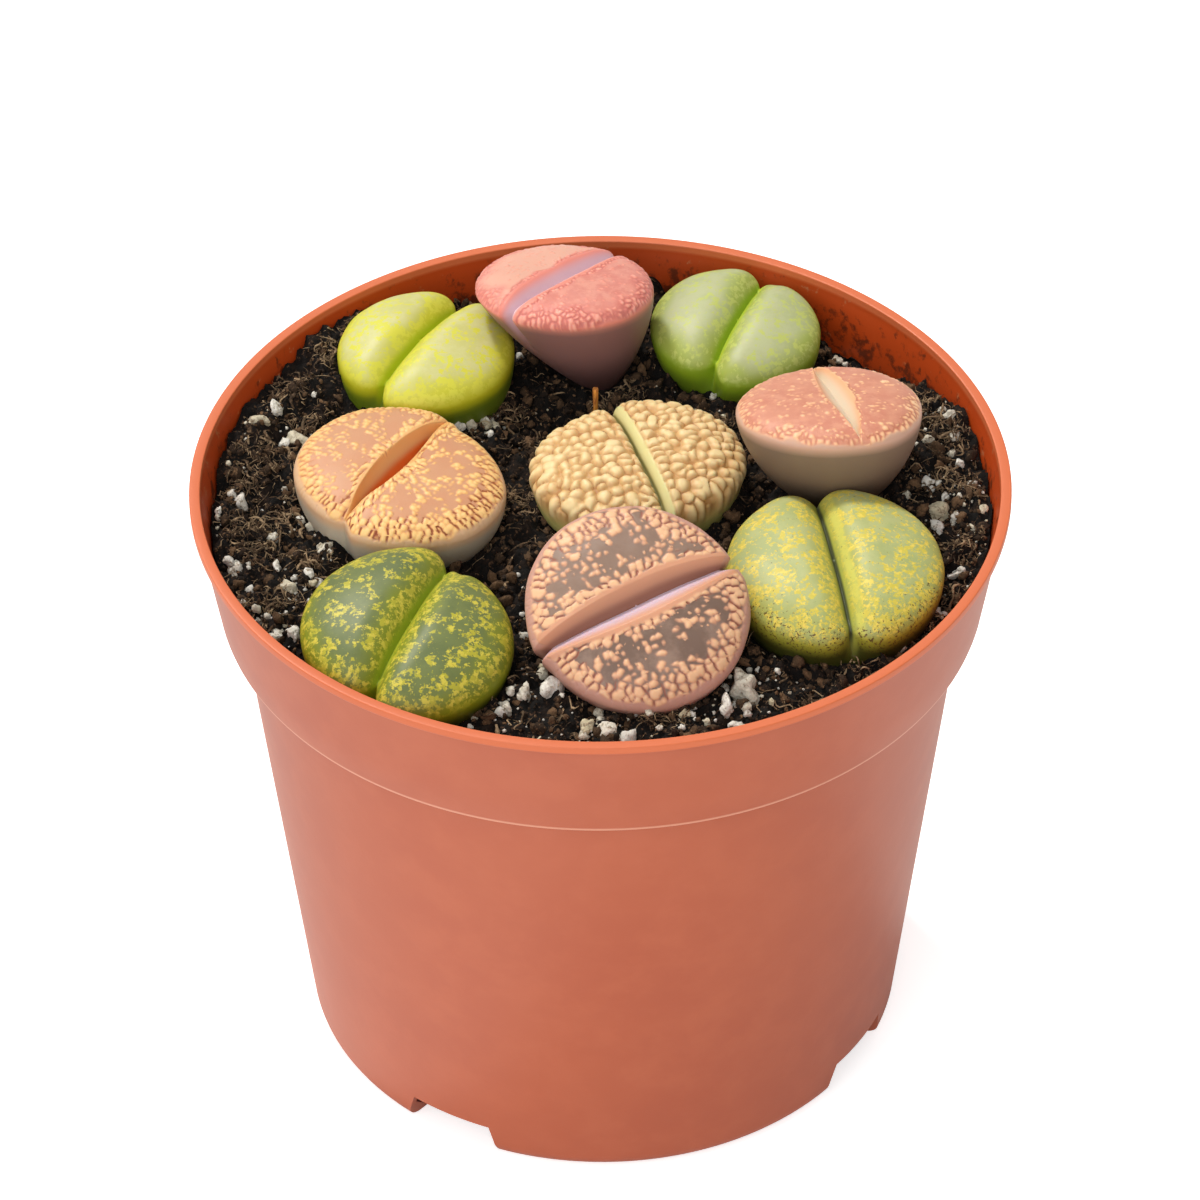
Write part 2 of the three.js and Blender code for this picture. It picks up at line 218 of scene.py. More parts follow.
def note(mesh, name, values):
    """Writes one number per point, which a material reads by its name."""
    layer = mesh.attributes.new(name, "FLOAT", "POINT")
    layer.data.foreach_set("value", np.broadcast_to(values, len(mesh.vertices)).astype(np.float32))


# %% [markdown]
# ## The moulded pot
# The pot is injection moulded polypropylene with a wall just over a millimetre thick. A straight
# collar flares gently up to a flat lip, and a small step divides it from the tapering body. Four
# shallow notches in the foot let water run out, and the floor is raised above the ground.
# The wall is one outline turned about the axis. It could be spun, but rolling up a flat grid gives
# the same points much faster. The notches and drain holes are cut from it afterwards.

# %% Outline of the pot's wall
RIM_RADIUS, POT_HEIGHT, WALL = 60, 96.6, 1.1
LIP_THICKNESS, LIP_CORNER = 1.6, 0.2
COLLAR_BOTTOM, COLLAR_BOTTOM_RADIUS, COLLAR_TOP_RADIUS = 78, 56.4, 59.4
BODY_TOP_RADIUS, BODY_FOOT_RADIUS = 53.6, 44.7
FLOOR_UNDERSIDE, FLOOR_TOP, FLOOR_RING = 6, 7.4, 20
FOOT_CORNER, FOOT_FLAT = 3, 1.6
COLLAR_SLOPE = (COLLAR_TOP_RADIUS - COLLAR_BOTTOM_RADIUS) / (POT_HEIGHT - COLLAR_BOTTOM)
LIP_UNDERSIDE = POT_HEIGHT - 1.2  # where the lip stands proud of the collar
LEDGE_TOP = COLLAR_BOTTOM + WALL
TURNS = 256  # steps of the pot about its axis


def body_radius(z):
    """The outside of the tapering body at a height, in mm."""
    return BODY_FOOT_RADIUS + (BODY_TOP_RADIUS - BODY_FOOT_RADIUS) * z / COLLAR_BOTTOM


def collar_radius(z):
    """The outside of the collar at a height, in mm."""
    return COLLAR_BOTTOM_RADIUS + COLLAR_SLOPE * (z - COLLAR_BOTTOM)


def arc(radius_at, height_at, radius, first, last, steps):
    """Points of an arc in the outline, from one angle to another in degrees."""
    angles = np.radians(np.linspace(first, last, steps + 1))
    return [(radius_at + radius * math.cos(a), height_at + radius * math.sin(a)) for a in angles]


def pot_outline():
    """The wall up the outside, over the lip, down the inside and across the floor, in mm."""
    foot = body_radius(FOOT_CORNER)
    lip_inner = RIM_RADIUS - LIP_THICKNESS
    step = 0.5  # rounding of the collar's lower corner
    return [
        (0, FLOOR_UNDERSIDE),
        (FLOOR_RING, FLOOR_UNDERSIDE),
        (body_radius(FLOOR_UNDERSIDE) - WALL, FLOOR_UNDERSIDE),
        (foot - WALL, FOOT_CORNER + 0.4),
        (foot - FOOT_CORNER - FOOT_FLAT, 0),
        *arc(foot - FOOT_CORNER, FOOT_CORNER, FOOT_CORNER, -90, 0, 8),
        *[(body_radius(z), z) for z in (12, 25, 40, 55, 68)],
        (body_radius(COLLAR_BOTTOM - 0.8), COLLAR_BOTTOM - 0.8),
        *arc(body_radius(COLLAR_BOTTOM) + 0.6, COLLAR_BOTTOM - 0.7, 0.6, 180, 90, 4),
        *arc(COLLAR_BOTTOM_RADIUS - step, COLLAR_BOTTOM - 0.1 + step, step, -90, 0, 5),
        *[(collar_radius(z), z) for z in (78.7, 84, 90, LIP_UNDERSIDE - 0.5)],
        *arc(RIM_RADIUS - 0.3, LIP_UNDERSIDE + 0.2, 0.3, -60, 0, 3),
        *arc(RIM_RADIUS - LIP_CORNER, POT_HEIGHT - LIP_CORNER, LIP_CORNER, 0, 90, 5),
        *arc(lip_inner + LIP_CORNER, POT_HEIGHT - LIP_CORNER, LIP_CORNER, 90, 180, 5),
        (lip_inner, LIP_UNDERSIDE),
        *[(collar_radius(z) - WALL, z) for z in (LIP_UNDERSIDE - 0.8, 87, LEDGE_TOP)],
        (BODY_TOP_RADIUS - WALL, LEDGE_TOP - 0.6),
        *[(body_radius(z) - WALL, z) for z in (40, FLOOR_TOP)],
        (FLOOR_RING, FLOOR_TOP),
        (0, FLOOR_TOP),
    ]


def rolled(outline, steps):
    """Rolls a flat grid once about the pot's axis: its rows follow an outline of (radius, height) in mm."""
    bm = bmesh.new()
    rows = len(outline) - 1
    bmesh.ops.create_grid(bm, x_segments=steps, y_segments=rows, size=1)
    ends = []
    for vert in bm.verts:
        column, row = round((vert.co.x + 1) / 2 * steps), round((vert.co.y + 1) / 2 * rows)
        radius, height = outline[row]
        angle = 2 * math.pi * (column % steps) / steps
        vert.co = (radius * math.cos(angle) * MM, radius * math.sin(angle) * MM, height * MM)
        if radius == 0 or column in (0, steps):
            ends.append(vert)
    bmesh.ops.remove_doubles(bm, verts=ends, dist=1e-7)
    bmesh.ops.recalc_face_normals(bm, faces=bm.faces)
    return bm


pot_mesh = mesh_from(rolled(pot_outline(), TURNS), "moulded_pot")
print("pot outline rolled:", len(pot_mesh.vertices), "points")

# %% Notches and drain holes
FEET, NOTCH_MIDDLE = 4, -31  # the first notch, in degrees from the front towards +X
NOTCH_HALF_TOP, NOTCH_HALF_BOTTOM = 8.3, 10.8  # degrees
DRAIN_HOLES, DRAIN_RADIUS, DRAIN_CIRCLE = 6, 4, 27


def notch_cutters(bm):
    """One wedge for each notch: a cube whose sides are drawn out to the notch's angles."""
    near, far = BODY_FOOT_RADIUS - 10, BODY_FOOT_RADIUS + 10
    for turn in range(FEET):
        made = bmesh.ops.create_cube(bm, size=1)["verts"]
        for vert in made:
            half = NOTCH_HALF_TOP if vert.co.z > 0 else NOTCH_HALF_BOTTOM
            out = far if vert.co.y < 0 else near
            side = math.copysign(out * math.tan(math.radians(half)), vert.co.x)
            vert.co = (side * MM, -out * MM, (FLOOR_UNDERSIDE if vert.co.z > 0 else -1) * MM)
        angle = math.radians(NOTCH_MIDDLE + turn * 360 / FEET)
        bmesh.ops.rotate(bm, verts=made, cent=(0, 0, 0), matrix=Matrix.Rotation(angle, 3, "Z"))


def drain_cutters(bm):
    """One rod for each drain hole."""
    for turn in range(DRAIN_HOLES):
        place = Matrix.Rotation(turn * 2 * math.pi / DRAIN_HOLES, 4, "Z")
        middle = Matrix.Translation((0, -DRAIN_CIRCLE * MM, FLOOR_UNDERSIDE * MM))
        size = dict(radius1=DRAIN_RADIUS * MM, radius2=DRAIN_RADIUS * MM, depth=8 * MM)
        bmesh.ops.create_cone(bm, cap_ends=True, segments=32, matrix=place @ middle, **size)


def cut_from(mesh, cutters):
    """The mesh with the cutters taken out of it."""
    blank = into_scene("blank", mesh)
    tool = into_scene("tool", cutters)
    change = blank.modifiers.new("cut", "BOOLEAN")
    change.object = tool
    change.operation = "DIFFERENCE"
    change.solver = "EXACT"
    bpy.context.view_layer.update()
    result = bpy.data.meshes.new_from_object(blank.evaluated_get(bpy.context.evaluated_depsgraph_get()))
    for thing in (blank, tool):
        bpy.data.objects.remove(thing)
    return result


cutters = bmesh.new()
notch_cutters(cutters)
drain_cutters(cutters)
bmesh.ops.recalc_face_normals(cutters, faces=cutters.faces)
pot_mesh = cut_from(pot_mesh, mesh_from(cutters, "cutters"))
pot_mesh.name = "moulded_pot"
print("notches and holes cut:", len(pot_mesh.polygons), "faces")

# %% [markdown]
# ## Terracotta-coloured polypropylene
# Polypropylene is a waxy plastic with an index of about 1.49. It comes off a mould with a satin
# face, so it takes broad pale reflections at its edges and keeps a strong colour where it faces you.
# The lip is painted brighter and more orange than the wall, as painted light on its flat top. The
# inner wall is painted a darker, deeper red as painted shade, and a thin painted highlight runs along
# the collar's lower edge. Inside, above the soil, watering has left dark smears and pale lime marks,
# which thin out towards the lip.

# %% Material of the pot
pot_plastic, tree, shader, place = start_material("moulded_polypropylene", 0.42, 1.49)
level = add(tree, "SeparateXYZ", {"Vector": place}).outputs["Z"]
inside = attribute(tree, "inside")
cloud = patches(tree, place, 30, 0.3, 0.7, detail=2)
haze = patches(tree, place, 7, 0.35, 0.75, detail=4)
wet = ramp(tree, level, 95 * MM, 89 * MM)
smears = patches(tree, place, 2.4, 0.58, 0.72, detail=6, rough=0.7, more=(wet, 0.15))
limes = patches(tree, place, 2.6, 0.62, 0.7, detail=5, rough=0.7)
# The lip is painted brighter and more orange than the wall: painted light on its flat top.
lit_lip = ramp(tree, level, 95.2 * MM, 95.7 * MM)
# The inner wall's coat is painted shade: a darker, deeper red than the outside of the same plastic.
paint(tree, shader, "b85e3e", [
    # A thin painted highlight along the collar's lower edge.
    (cloud, "b45a3c"), (haze, "bb6141"), (attribute(tree, "edge"), "da9478"), (inside, "bb4412"),
    (times(tree, smears, inside), "6e2a10"), (times(tree, limes, inside), "bc6c46"), (lit_lip, "d46c40")])
bumps(tree, shader, [(speckle(tree, place, 0.35, 2.0), 0.03, 0.25), (haze, 0.15, 0.12)])

x, y, z = points_of(pot_mesh).T
# The inner wall above the ledge is painted darker and deeper red than the outside: painted shade inside the
# pot.
inner_wall = (z < LIP_UNDERSIDE + 0.1) & (z > LEDGE_TOP - 1)
note(pot_mesh, "inside", inner_wall & (np.hypot(x, y) < collar_radius(z) - 0.7 * WALL))
# A thin painted highlight along the collar's lower edge, just above the step.
collar_highlight_band = abs(z - COLLAR_BOTTOM - 0.2) < 0.4
note(pot_mesh, "edge", collar_highlight_band & (np.hypot(x, y) > COLLAR_BOTTOM_RADIUS - 0.4))
add_piece("moulded_pot", pot_mesh, pot_plastic, "pot", crease=35)

# %% [markdown]
# ## Seeded patterns
# The marks on a lithops are islands of opaque skin round a window of clear tissue. An island is a
# group of round granules that have run together, and where the groups crowd, only thin channels are
# left between them. A plain cell pattern would give straight-sided tiles, so small round granules are
# scattered first, each belongs to the large cell that it lies in, and an island is one cell's
# granules. Every pattern comes from a seed, so it is the same on each run.

# %% Fields of soft drifts, cells and granules
TABLE = 256


@lru_cache(maxsize=None)
def draws_of(seed):
    """A table of seeded draws, kept so that it is made once."""
    return np.random.default_rng(seed).random((TABLE, TABLE, 3))


def smooth(values):
    """Eases 0 to 1, and holds outside."""
    values = np.clip(values, 0, 1)
    return values * values * (3 - 2 * values)


def drift(x, y, size, seed, octaves=1):
    """A soft random field between about -1 and 1, with one swing for every size mm."""
    x, y = x / size, y / size
    draws = draws_of(seed)[..., 0] * 2 - 1
    total, strength, scale = 0, 1, 1
    for _ in range(octaves):
        column, row = np.floor(x * scale).astype(int), np.floor(y * scale).astype(int)
        across, along = smooth(x * scale - column), smooth(y * scale - row)
        corner = [draws[(column + i) % TABLE, (row + j) % TABLE] for i in (0, 1) for j in (0, 1)]
        near = corner[0] * (1 - along) + corner[1] * along
        far = corner[2] * (1 - along) + corner[3] * along
        total = total + strength * (near * (1 - across) + far * across)
        strength, scale = strength * 0.55, scale * 2.03
    return total


def bent(x, y, by, size, seed):
    """Places moved a little by soft drifts, so that what follows them has no straight lines."""
    return x + by * drift(x, y, size, seed + 1, 2), y + by * drift(x, y, size, seed + 2, 2)


def cells(x, y, seed, pull=None):
    """Cells on a plane of unit squares: how far each point is from its cell's border, and the cell's
    own draw. pull draws the cells out: the direction at each point, and by how much."""
    draws = draws_of(seed)
    column, row = np.floor(x).astype(int), np.floor(y).astype(int)
    near = []
    for i in range(-2, 3):
        for j in range(-2, 3):
            picked = draws[(column + i) % TABLE, (row + j) % TABLE]
            dx = column + i + 0.1 + 0.8 * picked[:, 0] - x
            dy = row + j + 0.1 + 0.8 * picked[:, 1] - y
            if pull is not None:
                out_x, out_y, slim = pull
                dx, dy = (dx * out_y - dy * out_x) * slim, (dx * out_x + dy * out_y) / slim
            near.append([dx, dy, picked[:, 2]])
    near = np.array(near)
    home = near[np.hypot(near[:, 0], near[:, 1]).argmin(0), :, np.arange(len(x))].T
    step = near[:, :2] - home[:2]
    apart = np.hypot(step[:, 0], step[:, 1])
    middle = ((near[:, :2] + home[:2]) * step).sum(1) / 2 / np.maximum(apart, 1e-9)
    return np.where(apart < 1e-6, 1, middle).min(0), home[2]


REACH = 24  # mm from a plant's middle that its granules cover


def granules(x, y, seed, grain, size, long=None, join=0.0):
    """Round granules of grain mm in groups of size mm. Gives how far inside its granule a point is,
    how far from the next group, its group's own draw, and how much the next group lies further in or
    out rather than beside it. Some neighbouring groups are joined."""
    count = int(2 * REACH / grain) + 6
    own = draws_of(seed)[:count, :count]
    line = np.arange(count)
    middle_x = (line[:, None] + 0.5 + 0.75 * (own[..., 0] - 0.5)) * grain - REACH
    middle_y = (line + 0.5 + 0.75 * (own[..., 1] - 0.5)) * grain - REACH
    radius = grain * (0.5 + 0.28 * own[..., 2])
    flat_x, flat_y = middle_x.ravel(), middle_y.ravel()
    away = np.hypot(flat_x, flat_y) + 1e-6
    pull = None if long is None else (flat_x / away, flat_y / away, np.sqrt(long(flat_x, flat_y)))
    group = cells(flat_x / size + 60, flat_y / size + 60, seed + 1, pull)[1].reshape(count, count)

    at_column = np.clip(((x + REACH) / grain).astype(int), 2, count - 3)
    at_row = np.clip(((y + REACH) / grain).astype(int), 2, count - 3)
    none = np.zeros(len(x))
    first, next_one = [none - 9, none, none, none], [none - 9, none, none, none]
    for i in range(-2, 3):
        for j in range(-2, 3):
            spot = (at_column + i, at_row + j)
            inside = radius[spot] - np.hypot(middle_x[spot] - x, middle_y[spot] - y)
            found = [inside, group[spot], middle_x[spot], middle_y[spot]]
            better, same = inside > first[0], found[1] == first[1]
            passed = better & ~same
            runner_up = ~better & ~same & (inside > next_one[0])
            next_one = [np.where(runner_up, b, c) for b, c in zip(found, next_one)]
            next_one = [np.where(passed, a, c) for a, c in zip(first, next_one)]
            first = [np.where(better, b, a) for a, b in zip(first, found)]
    border = np.where((first[1] + next_one[1]) % 1 < join, 1, (first[0] - next_one[0]) / 2)
    step_x, step_y = next_one[2] - first[2], next_one[3] - first[3]
    inward = np.abs(step_x * x + step_y * y) / (np.hypot(step_x, step_y) * np.hypot(x, y) + 1e-6)
    return first[0], np.minimum(border, 1), first[1], inward


sample = np.random.default_rng(1).random((2, 4000)) * 40 - 20
print("granules cover", round(float((granules(*sample, 3, 0.8, 1.7)[0] > 0).mean()), 2), "of the plane")

# %% [markdown]
# ## The nine plants
# Each plant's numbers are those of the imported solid: where its widest ring lies, how its top leans,
# which way its fissure runs, and how far it reaches to each side. The solid's own rule shapes the
# piece too: a ball's points are moved to a domed top, a rounded margin and a tapered side, and the
# fissure is pressed in. The piece only has far more points, so that its skin can carry relief.

# %% Sizes and places of the plants, in mm
COLUMNS = "at lean fissure left right long dome flatness depth taper groove".split()
PLAIN = dict(lens=0, lens_power=1, slip=0, grow=0, skew=(0, 0), wall=2.6, notch=0, side_fade=0.22,
             segments=300, top_rings=90, low_rings=30)
FINE = dict(segments=500, top_rings=120, low_rings=36)
FINEST = dict(segments=600, top_rings=128, low_rings=34)
SIZES = {
    "lime": ((-26.8, 32.9, 95.3), (-0.02, -0.02), 58, 12.3, 14.4, 12.9, 5, 2.3, 14.4, 2.2, (6, 3.2, 3),
             dict(grow=0.1, slip=-0.4, wall=1.2, side_fade=0.15)),
    "pink": ((-5.2, 37.2, 103.4), (0, 0.19), 50, 13.5, 13.5, 13, 2.8, 4, 18.5, 1.25, (2.3, 1.6, 1.5),
             dict(lens=0.4, skew=(5.6, 1.5), side_fade=0.07, **FINE)),
    "pale": ((20.9, 39.3, 94.3), (0, -0.05), 68, 13.2, 13, 12.7, 4.6, 2.3, 14, 1.8, (6, 3.2, 3),
             dict(slip=-1.3, wall=1.2)),
    "tan": ((34.6, 6.7, 103.8), (0, 0.22), 104, 14.9, 12.4, 13, 2.98, 3.4, 18, 1.55, (2, 1.5, 0.8),
            dict(lens=0.98, lens_power=1.2, skew=(0.5, 2.5), side_fade=0.09, **FINE)),
    "orange": ((-29.7, 3.3, 95.1), (0.02, -0.02), 57, 15.3, 17.4, 14.5, 3.4, 3.5, 16, 1.8, (2.1, 3.2, 0.7),
               dict(lens=0.98, lens_power=1.6, slip=-1.5, notch=0.8, side_fade=0.12, **FINEST)),
    "cream": ((5.6, 5.2, 94.3), (0, 0), 108, 16, 16, 14.1, 4, 3, 15, 1.8, (1.8, 1.8, 2),
              dict(slip=0.6, wall=0.7, **FINE)),
    "green": ((-27, -31.2, 94), (-0.02, -0.12), 66, 16, 15.5, 15.6, 6, 2.3, 15, 1.9, (6.5, 3.8, 3),
              dict(slip=-2.6, wall=1.2, side_fade=0.18)),
    "mauve": ((4.9, -32.2, 98.4), (0.04, -0.5), 30, 16.2, 16, 15.6, 3.8, 2.8, 17, 1.7, (2.7, 2.3, 1.15),
              dict(lens=0.6, slip=0.6, skew=(0, 2), **FINEST)),
    "yellow": ((33.4, -19.6, 95.2), (0, -0.08), 99, 15.5, 16, 16.2, 5.2, 2.3, 15, 1.9, (6.5, 3.2, 3),
               dict(wall=1.3, side_fade=0.17)),
}
PLANTS = {
    name: SimpleNamespace(**{**PLAIN, **dict(zip(COLUMNS, row)), **more})
    for name, (*row, more) in SIZES.items()
}
TOP_SHARE = 0.62  # share of the rings that lie on the top
GROOVE_FADE = 0.45  # how far down the side a fissure runs, as a share of the side
NOTCH_REACH = 3.5  # half width of the dent where a fissure meets the margin
RING_PULL = 0.22  # draws the points round a ring towards the fissure's ends
LOBE_BLEND = 3  # mm across the fissure in which one lobe slips past the other
widths = [plant.left + plant.right for plant in PLANTS.values()]
print(len(PLANTS), "heads,", min(widths), "to", max(widths), "mm across")

# %% A plant's coordinates on its own skin


def mean_reach(plant):
    """The plant's mean half width at its widest ring, in mm."""
    return (plant.left + plant.right + 2 * plant.long) / 4


def side_reach(plant, down):
    """How far out the side lies at a share of its depth, as a share of the widest ring."""
    return np.maximum(1 - down ** plant.taper, 0) ** (1 / plant.taper)


def skin_coordinates(ball, plant):
    """Where each point of the ball lies on the plant, before the fissure and the relief."""
    share = np.arccos(np.clip(ball[:, 2], -1, 1)) / math.pi
    fall = np.where(share <= TOP_SHARE, share / TOP_SHARE, 1 + (share - TOP_SHARE) / (1 - TOP_SHARE))
    on_top = fall <= 1
    sine = np.clip(np.sin(math.pi / 2 * fall), 0, 1)
    cosine = np.cos(math.pi / 2 * fall)
    down = np.where(on_top, 0, -cosine)
    flat = np.arctan2(ball[:, 1], ball[:, 0])
    turn = flat + RING_PULL * np.sin(2 * flat)
    reach = np.where(on_top, sine, side_reach(plant, down))
    side = np.where(np.cos(turn) > 0, plant.right, plant.left)
    x = reach * side * np.cos(turn)
    y = reach * plant.long * np.sin(turn)
    crown = plant.dome * np.sqrt(np.maximum(1 - sine ** plant.flatness, 0))
    z = np.where(on_top, crown, -plant.depth * down)

    # Distance over the skin from the widest ring in to the point, and less than nothing below it.
    steps = np.linspace(0, 1, 400)
    rises = plant.dome * np.sqrt(1 - np.sin(math.pi / 2 * steps) ** plant.flatness)
    half = mean_reach(plant)
    lengths = np.hypot(np.diff(half * np.sin(math.pi / 2 * steps)), np.diff(rises))
    left_over = np.append(np.cumsum(lengths[::-1])[::-1], 0)
    inset = np.where(on_top, np.interp(fall, steps, left_over), -plant.depth * down)

    push_out = np.where(on_top, sine**4, smooth(3 * reach))
    push_up = np.where(on_top, cosine, cosine * (1 - 0.7 * push_out))
    push = np.hypot(push_out, push_up)  # the relief and the fissure push points along this direction
    return SimpleNamespace(x=x, y=y, z=z, turn=turn, down=down, inset=inset, half=half,
                           push_out=push_out / push, push_up=push_up / push)


def open_share(plant, y):
    """How open the fissure is along its length. It may close towards its ends like a lens."""
    return 1 - plant.lens * np.clip(np.abs(y) / plant.long, 0, 1) ** 2


def is_open(plant, y, down):
    """1 where the fissure is open and 0 where it has closed. A lens ends at the margin."""
    return smooth(5 * open_share(plant, y) - 0.2 - 9 * plant.lens ** 4 * down)


def groove_width(plant, y):
    """Half width of the fissure in mm."""
    return np.maximum(plant.groove[0] * open_share(plant, y) ** plant.lens_power, 0.05)


def plant_points(skin, plant, relief):
    """The plant's points in the pot, with its fissure pressed in and its relief raised, in mm."""
    x, y, z, down = skin.x.copy(), skin.y.copy(), skin.z.copy(), skin.down
    _, deep, power = plant.groove
    fade = 1 - smooth(down / GROOVE_FADE)
    groove = deep * is_open(plant, y, down)
    groove = groove * np.maximum(1 - np.abs(x) / groove_width(plant, y), 0) ** power
    near_end = smooth((np.abs(y) / plant.long - 0.5) / 0.4)
    groove = fade * (groove + plant.notch * near_end * np.maximum(1 - np.abs(x) / NOTCH_REACH, 0) ** 2)
    y += smooth(x / LOBE_BLEND) * (1 - down) * (plant.slip + plant.grow * y)
    move = relief - groove
    x += move * skin.push_out * np.cos(skin.turn)
    y += move * skin.push_out * np.sin(skin.turn)
    z += move * skin.push_up
    up = np.array([*plant.lean, 1.0])
    up /= np.linalg.norm(up)
    heading = math.radians(plant.fissure)
    along = np.array([math.cos(heading), math.sin(heading), 0])
    along -= up * along.dot(up)
    along /= np.linalg.norm(along)
    across = np.cross(along, up)
    points = np.array(plant.at) + np.outer(x, across) + np.outer(y, along) + np.outer(z, up)
    points[:, :2] += np.outer(down, plant.skew)
    return points


print("the cream fissure is", round(2 * float(groove_width(PLANTS["cream"], 0.0)), 1), "mm wide")

# %% [markdown]
# ## Islands, channels and knobs
# Near the margin the islands are long and stand side by side like teeth, with dark channels that run
# out between them. Further in they are round, they draw in from their neighbours, and more and more
# of them are missing, until only a few are left on the window. So the groups are drawn out towards
# the margin, and one number, how crowded the place is, rules the gaps and the missing groups.

# %% Where the islands and channels lie


def island_marks(skin, plant, style, seed):
    """How much each point is island, channel or rim, and how high it stands."""
    x, y, inset = skin.x, skin.y, skin.inset
    ragged = drift(x, y, 2.4, seed + 8, 2)
    to_rim = inset - style.start + 0.5 * ragged
    to_fissure = np.abs(x) - 0.9 * groove_width(plant, y) - style.band + 0.3 * ragged
    edge = np.minimum(to_rim, to_fissure * style.fissure_pull)
    wander = style.wander * drift(x, y, 4.2, seed + 9, 2)
    crowd = 1 - smooth((edge - style.full) / style.fade_in + wander)

    def long(at_x, at_y):
        """Groups near the margin are drawn out towards it."""
        return 1 + (style.long - 1) * smooth((5 - skin.half + np.hypot(at_x, at_y)) / 2)

    bent_places = bent(x, y, 0.1, 1.3, seed)
    best, border, own, inward = granules(*bent_places, seed + 3, style.grain, style.size, long, 0.05)
    border = np.minimum(border + style.teeth * crowd * smooth((inward - 0.45) / 0.4), 1)
    gap = style.channel + style.shrink * (1 - crowd)
    left = smooth(0.5 - x)
    missing = (own * 7 % 1) < (1 - crowd) * style.missing * (1 - 0.6 * style.faint_left * left)
    level = np.minimum(best - 0.4 * style.shrink * (1 - crowd), border - gap) - 9 * missing
    inside = smooth(level / 0.26 + 0.5)
    dots, dot_own = cells(x / 0.8 + 30, y / 0.8 + 30, seed + 6)
    dot = smooth((0.8 * dots - 0.27) / 0.08 + 0.5) * (dot_own < 0.12) * smooth((1 - crowd) / 0.3)

    rim = smooth(0.5 - to_rim / 0.7)
    band = smooth(0.5 - to_fissure / 0.5) * smooth(0.5 + to_rim)
    whole = np.maximum(rim, band)
    line = smooth(1.3 - border / 0.14) * smooth((crowd - 0.3) / 0.4)
    line *= smooth((to_rim + style.run_out) / 0.8) * smooth(0.6 + to_fissure / 0.5)
    dome = smooth(level / 0.5 + 0.2)
    height = style.raised * (np.maximum(dome, 0.5 * dot) * (1 - whole) + 0.85 * whole - 0.6 * line)
    height += 0.15 * style.raised * smooth(best / (0.6 * style.grain)) * inside * (1 - whole)
    island = np.maximum(np.maximum(inside, dot), whole)
    # The tops of the raised islands are painted paler: a painted highlight.
    crest_highlight = smooth(height / style.raised - 0.1) * island * (1 - whole)
    front = smooth(0.25 + 0.75 * (x - 0.9 * y) / skin.half)
    show = 1 - style.faint_left * left
    return dict(island=island * show, crest_highlight=crest_highlight * show, channel=line * show,
                dark_channel=line * front, crowd=crowd, rim=rim), height


STYLES = ("grain size start band fissure_pull full fade_in wander long channel shrink missing "
          "run_out raised teeth faint_left")
ISLANDS = {
    "mauve": (1.15, 1.8, 1.5, 0.9, 2.6, 0.7, 4.2, 0.15, 2.2, 0.07, 0.2, 0.4, 1.5, 0.15, 0.25, 0),
    "orange": (0.9, 1.8, 1.2, 0.5, 2.4, 0.9, 4.2, 0.3, 2.6, 0.05, 0.16, 0.52, 1.5, 0.12, 0.3, 0.2),
    "pink": (0.7, 0.8, 0.1, 0.6, 5, 0.2, 4.5, 0.4, 1.3, 0.04, 0.14, 0.85, 0.5, 0.11, 0, 0.45),
    "tan": (0.85, 1.1, 0.7, 0.3, 4.5, -0.2, 3.6, 0.3, 1.4, 0.06, 0.2, 0.8, 0.2, 0.1, 0, 0.3),
}
ISLANDS = {name: SimpleNamespace(**dict(zip(STYLES.split(), row))) for name, row in ISLANDS.items()}
print("islands on", ", ".join(ISLANDS))

# %% Knobs like a brain's folds on the cream plant
KNOB_SIZE, KNOB_HEIGHT = 1.7, 0.7  # mm


def knob_marks(skin, seed):
    """Rounded knobs over the whole top, parted by creases, with a smooth band by the fissure."""
    x, y, inset = skin.x, skin.y, skin.inset
    best, border, *_ = granules(*bent(x, y, 0.25, 2, seed), seed + 3, KNOB_SIZE, KNOB_SIZE, None, 0.3)
    band = smooth(0.5 + (1.4 - x) / 0.5) * smooth(0.5 + (x + 0.15) / 0.4)
    low = smooth((inset + 2.4) / 2.2) * (1 - band)
    # The creases are painted darker: painted shade between the knobs, laid over their relief.
    crease = smooth(1.1 - np.minimum(border, best + 0.2) / 0.13) * low
    crease *= smooth(0.5 + drift(x, y, 1.6, seed + 7, 2))
    swell = 1 - np.clip((np.minimum(0.75 * best, border) + 0.08) / 0.8, 0, 1)
    knob = 1 - swell**2.2
    height = KNOB_HEIGHT * (knob - 0.5) * low + 0.05 * band
    # A dark painted shade line down the fissure.
    line = smooth(1.5 - np.abs(x) / 0.25) * smooth(1 + inset / 3)
    # The knobs' rounded tops carry a painted highlight.
    return dict(channel=0.75 * crease, crest_highlight=knob**2 * low, band=band, fissure_shade_line=line), height


# %% Flecks on the green plants, and the marks that every plant has


def fleck_marks(skin, seed):
    """Where the flecks crowd on a green plant: along its margin and its fissure."""
    x, y, inset = skin.x, skin.y, skin.inset
    edge = np.minimum(inset - 1, (np.abs(x) - 1) * 1.3)
    crowd = 1 - smooth(edge / 4.5 + 0.35 * drift(x, y, 4, seed, 2))
    patchy = 0.75 + 0.4 * drift(x, y, 1.2, seed + 4, 2)
    return dict(
        crowd=crowd,
        rim=smooth(0.5 - (inset - 0.6) / 2.6),
        front_edge=smooth(-y / 10) * smooth(1.2 - inset / 5),
        # A painted highlight along the right lobe's edge by the fissure, broken into patches.
        fissure_edge_highlight=smooth(1.4 - np.abs(x - 1.6) / 0.6) * smooth(0.5 + inset / 2) * patchy,
        # A dark painted shade line down the fissure.
        fissure_shade_line=smooth(1.6 - np.abs(x) / 0.3) * smooth(1 + inset / 3),
    ), 0


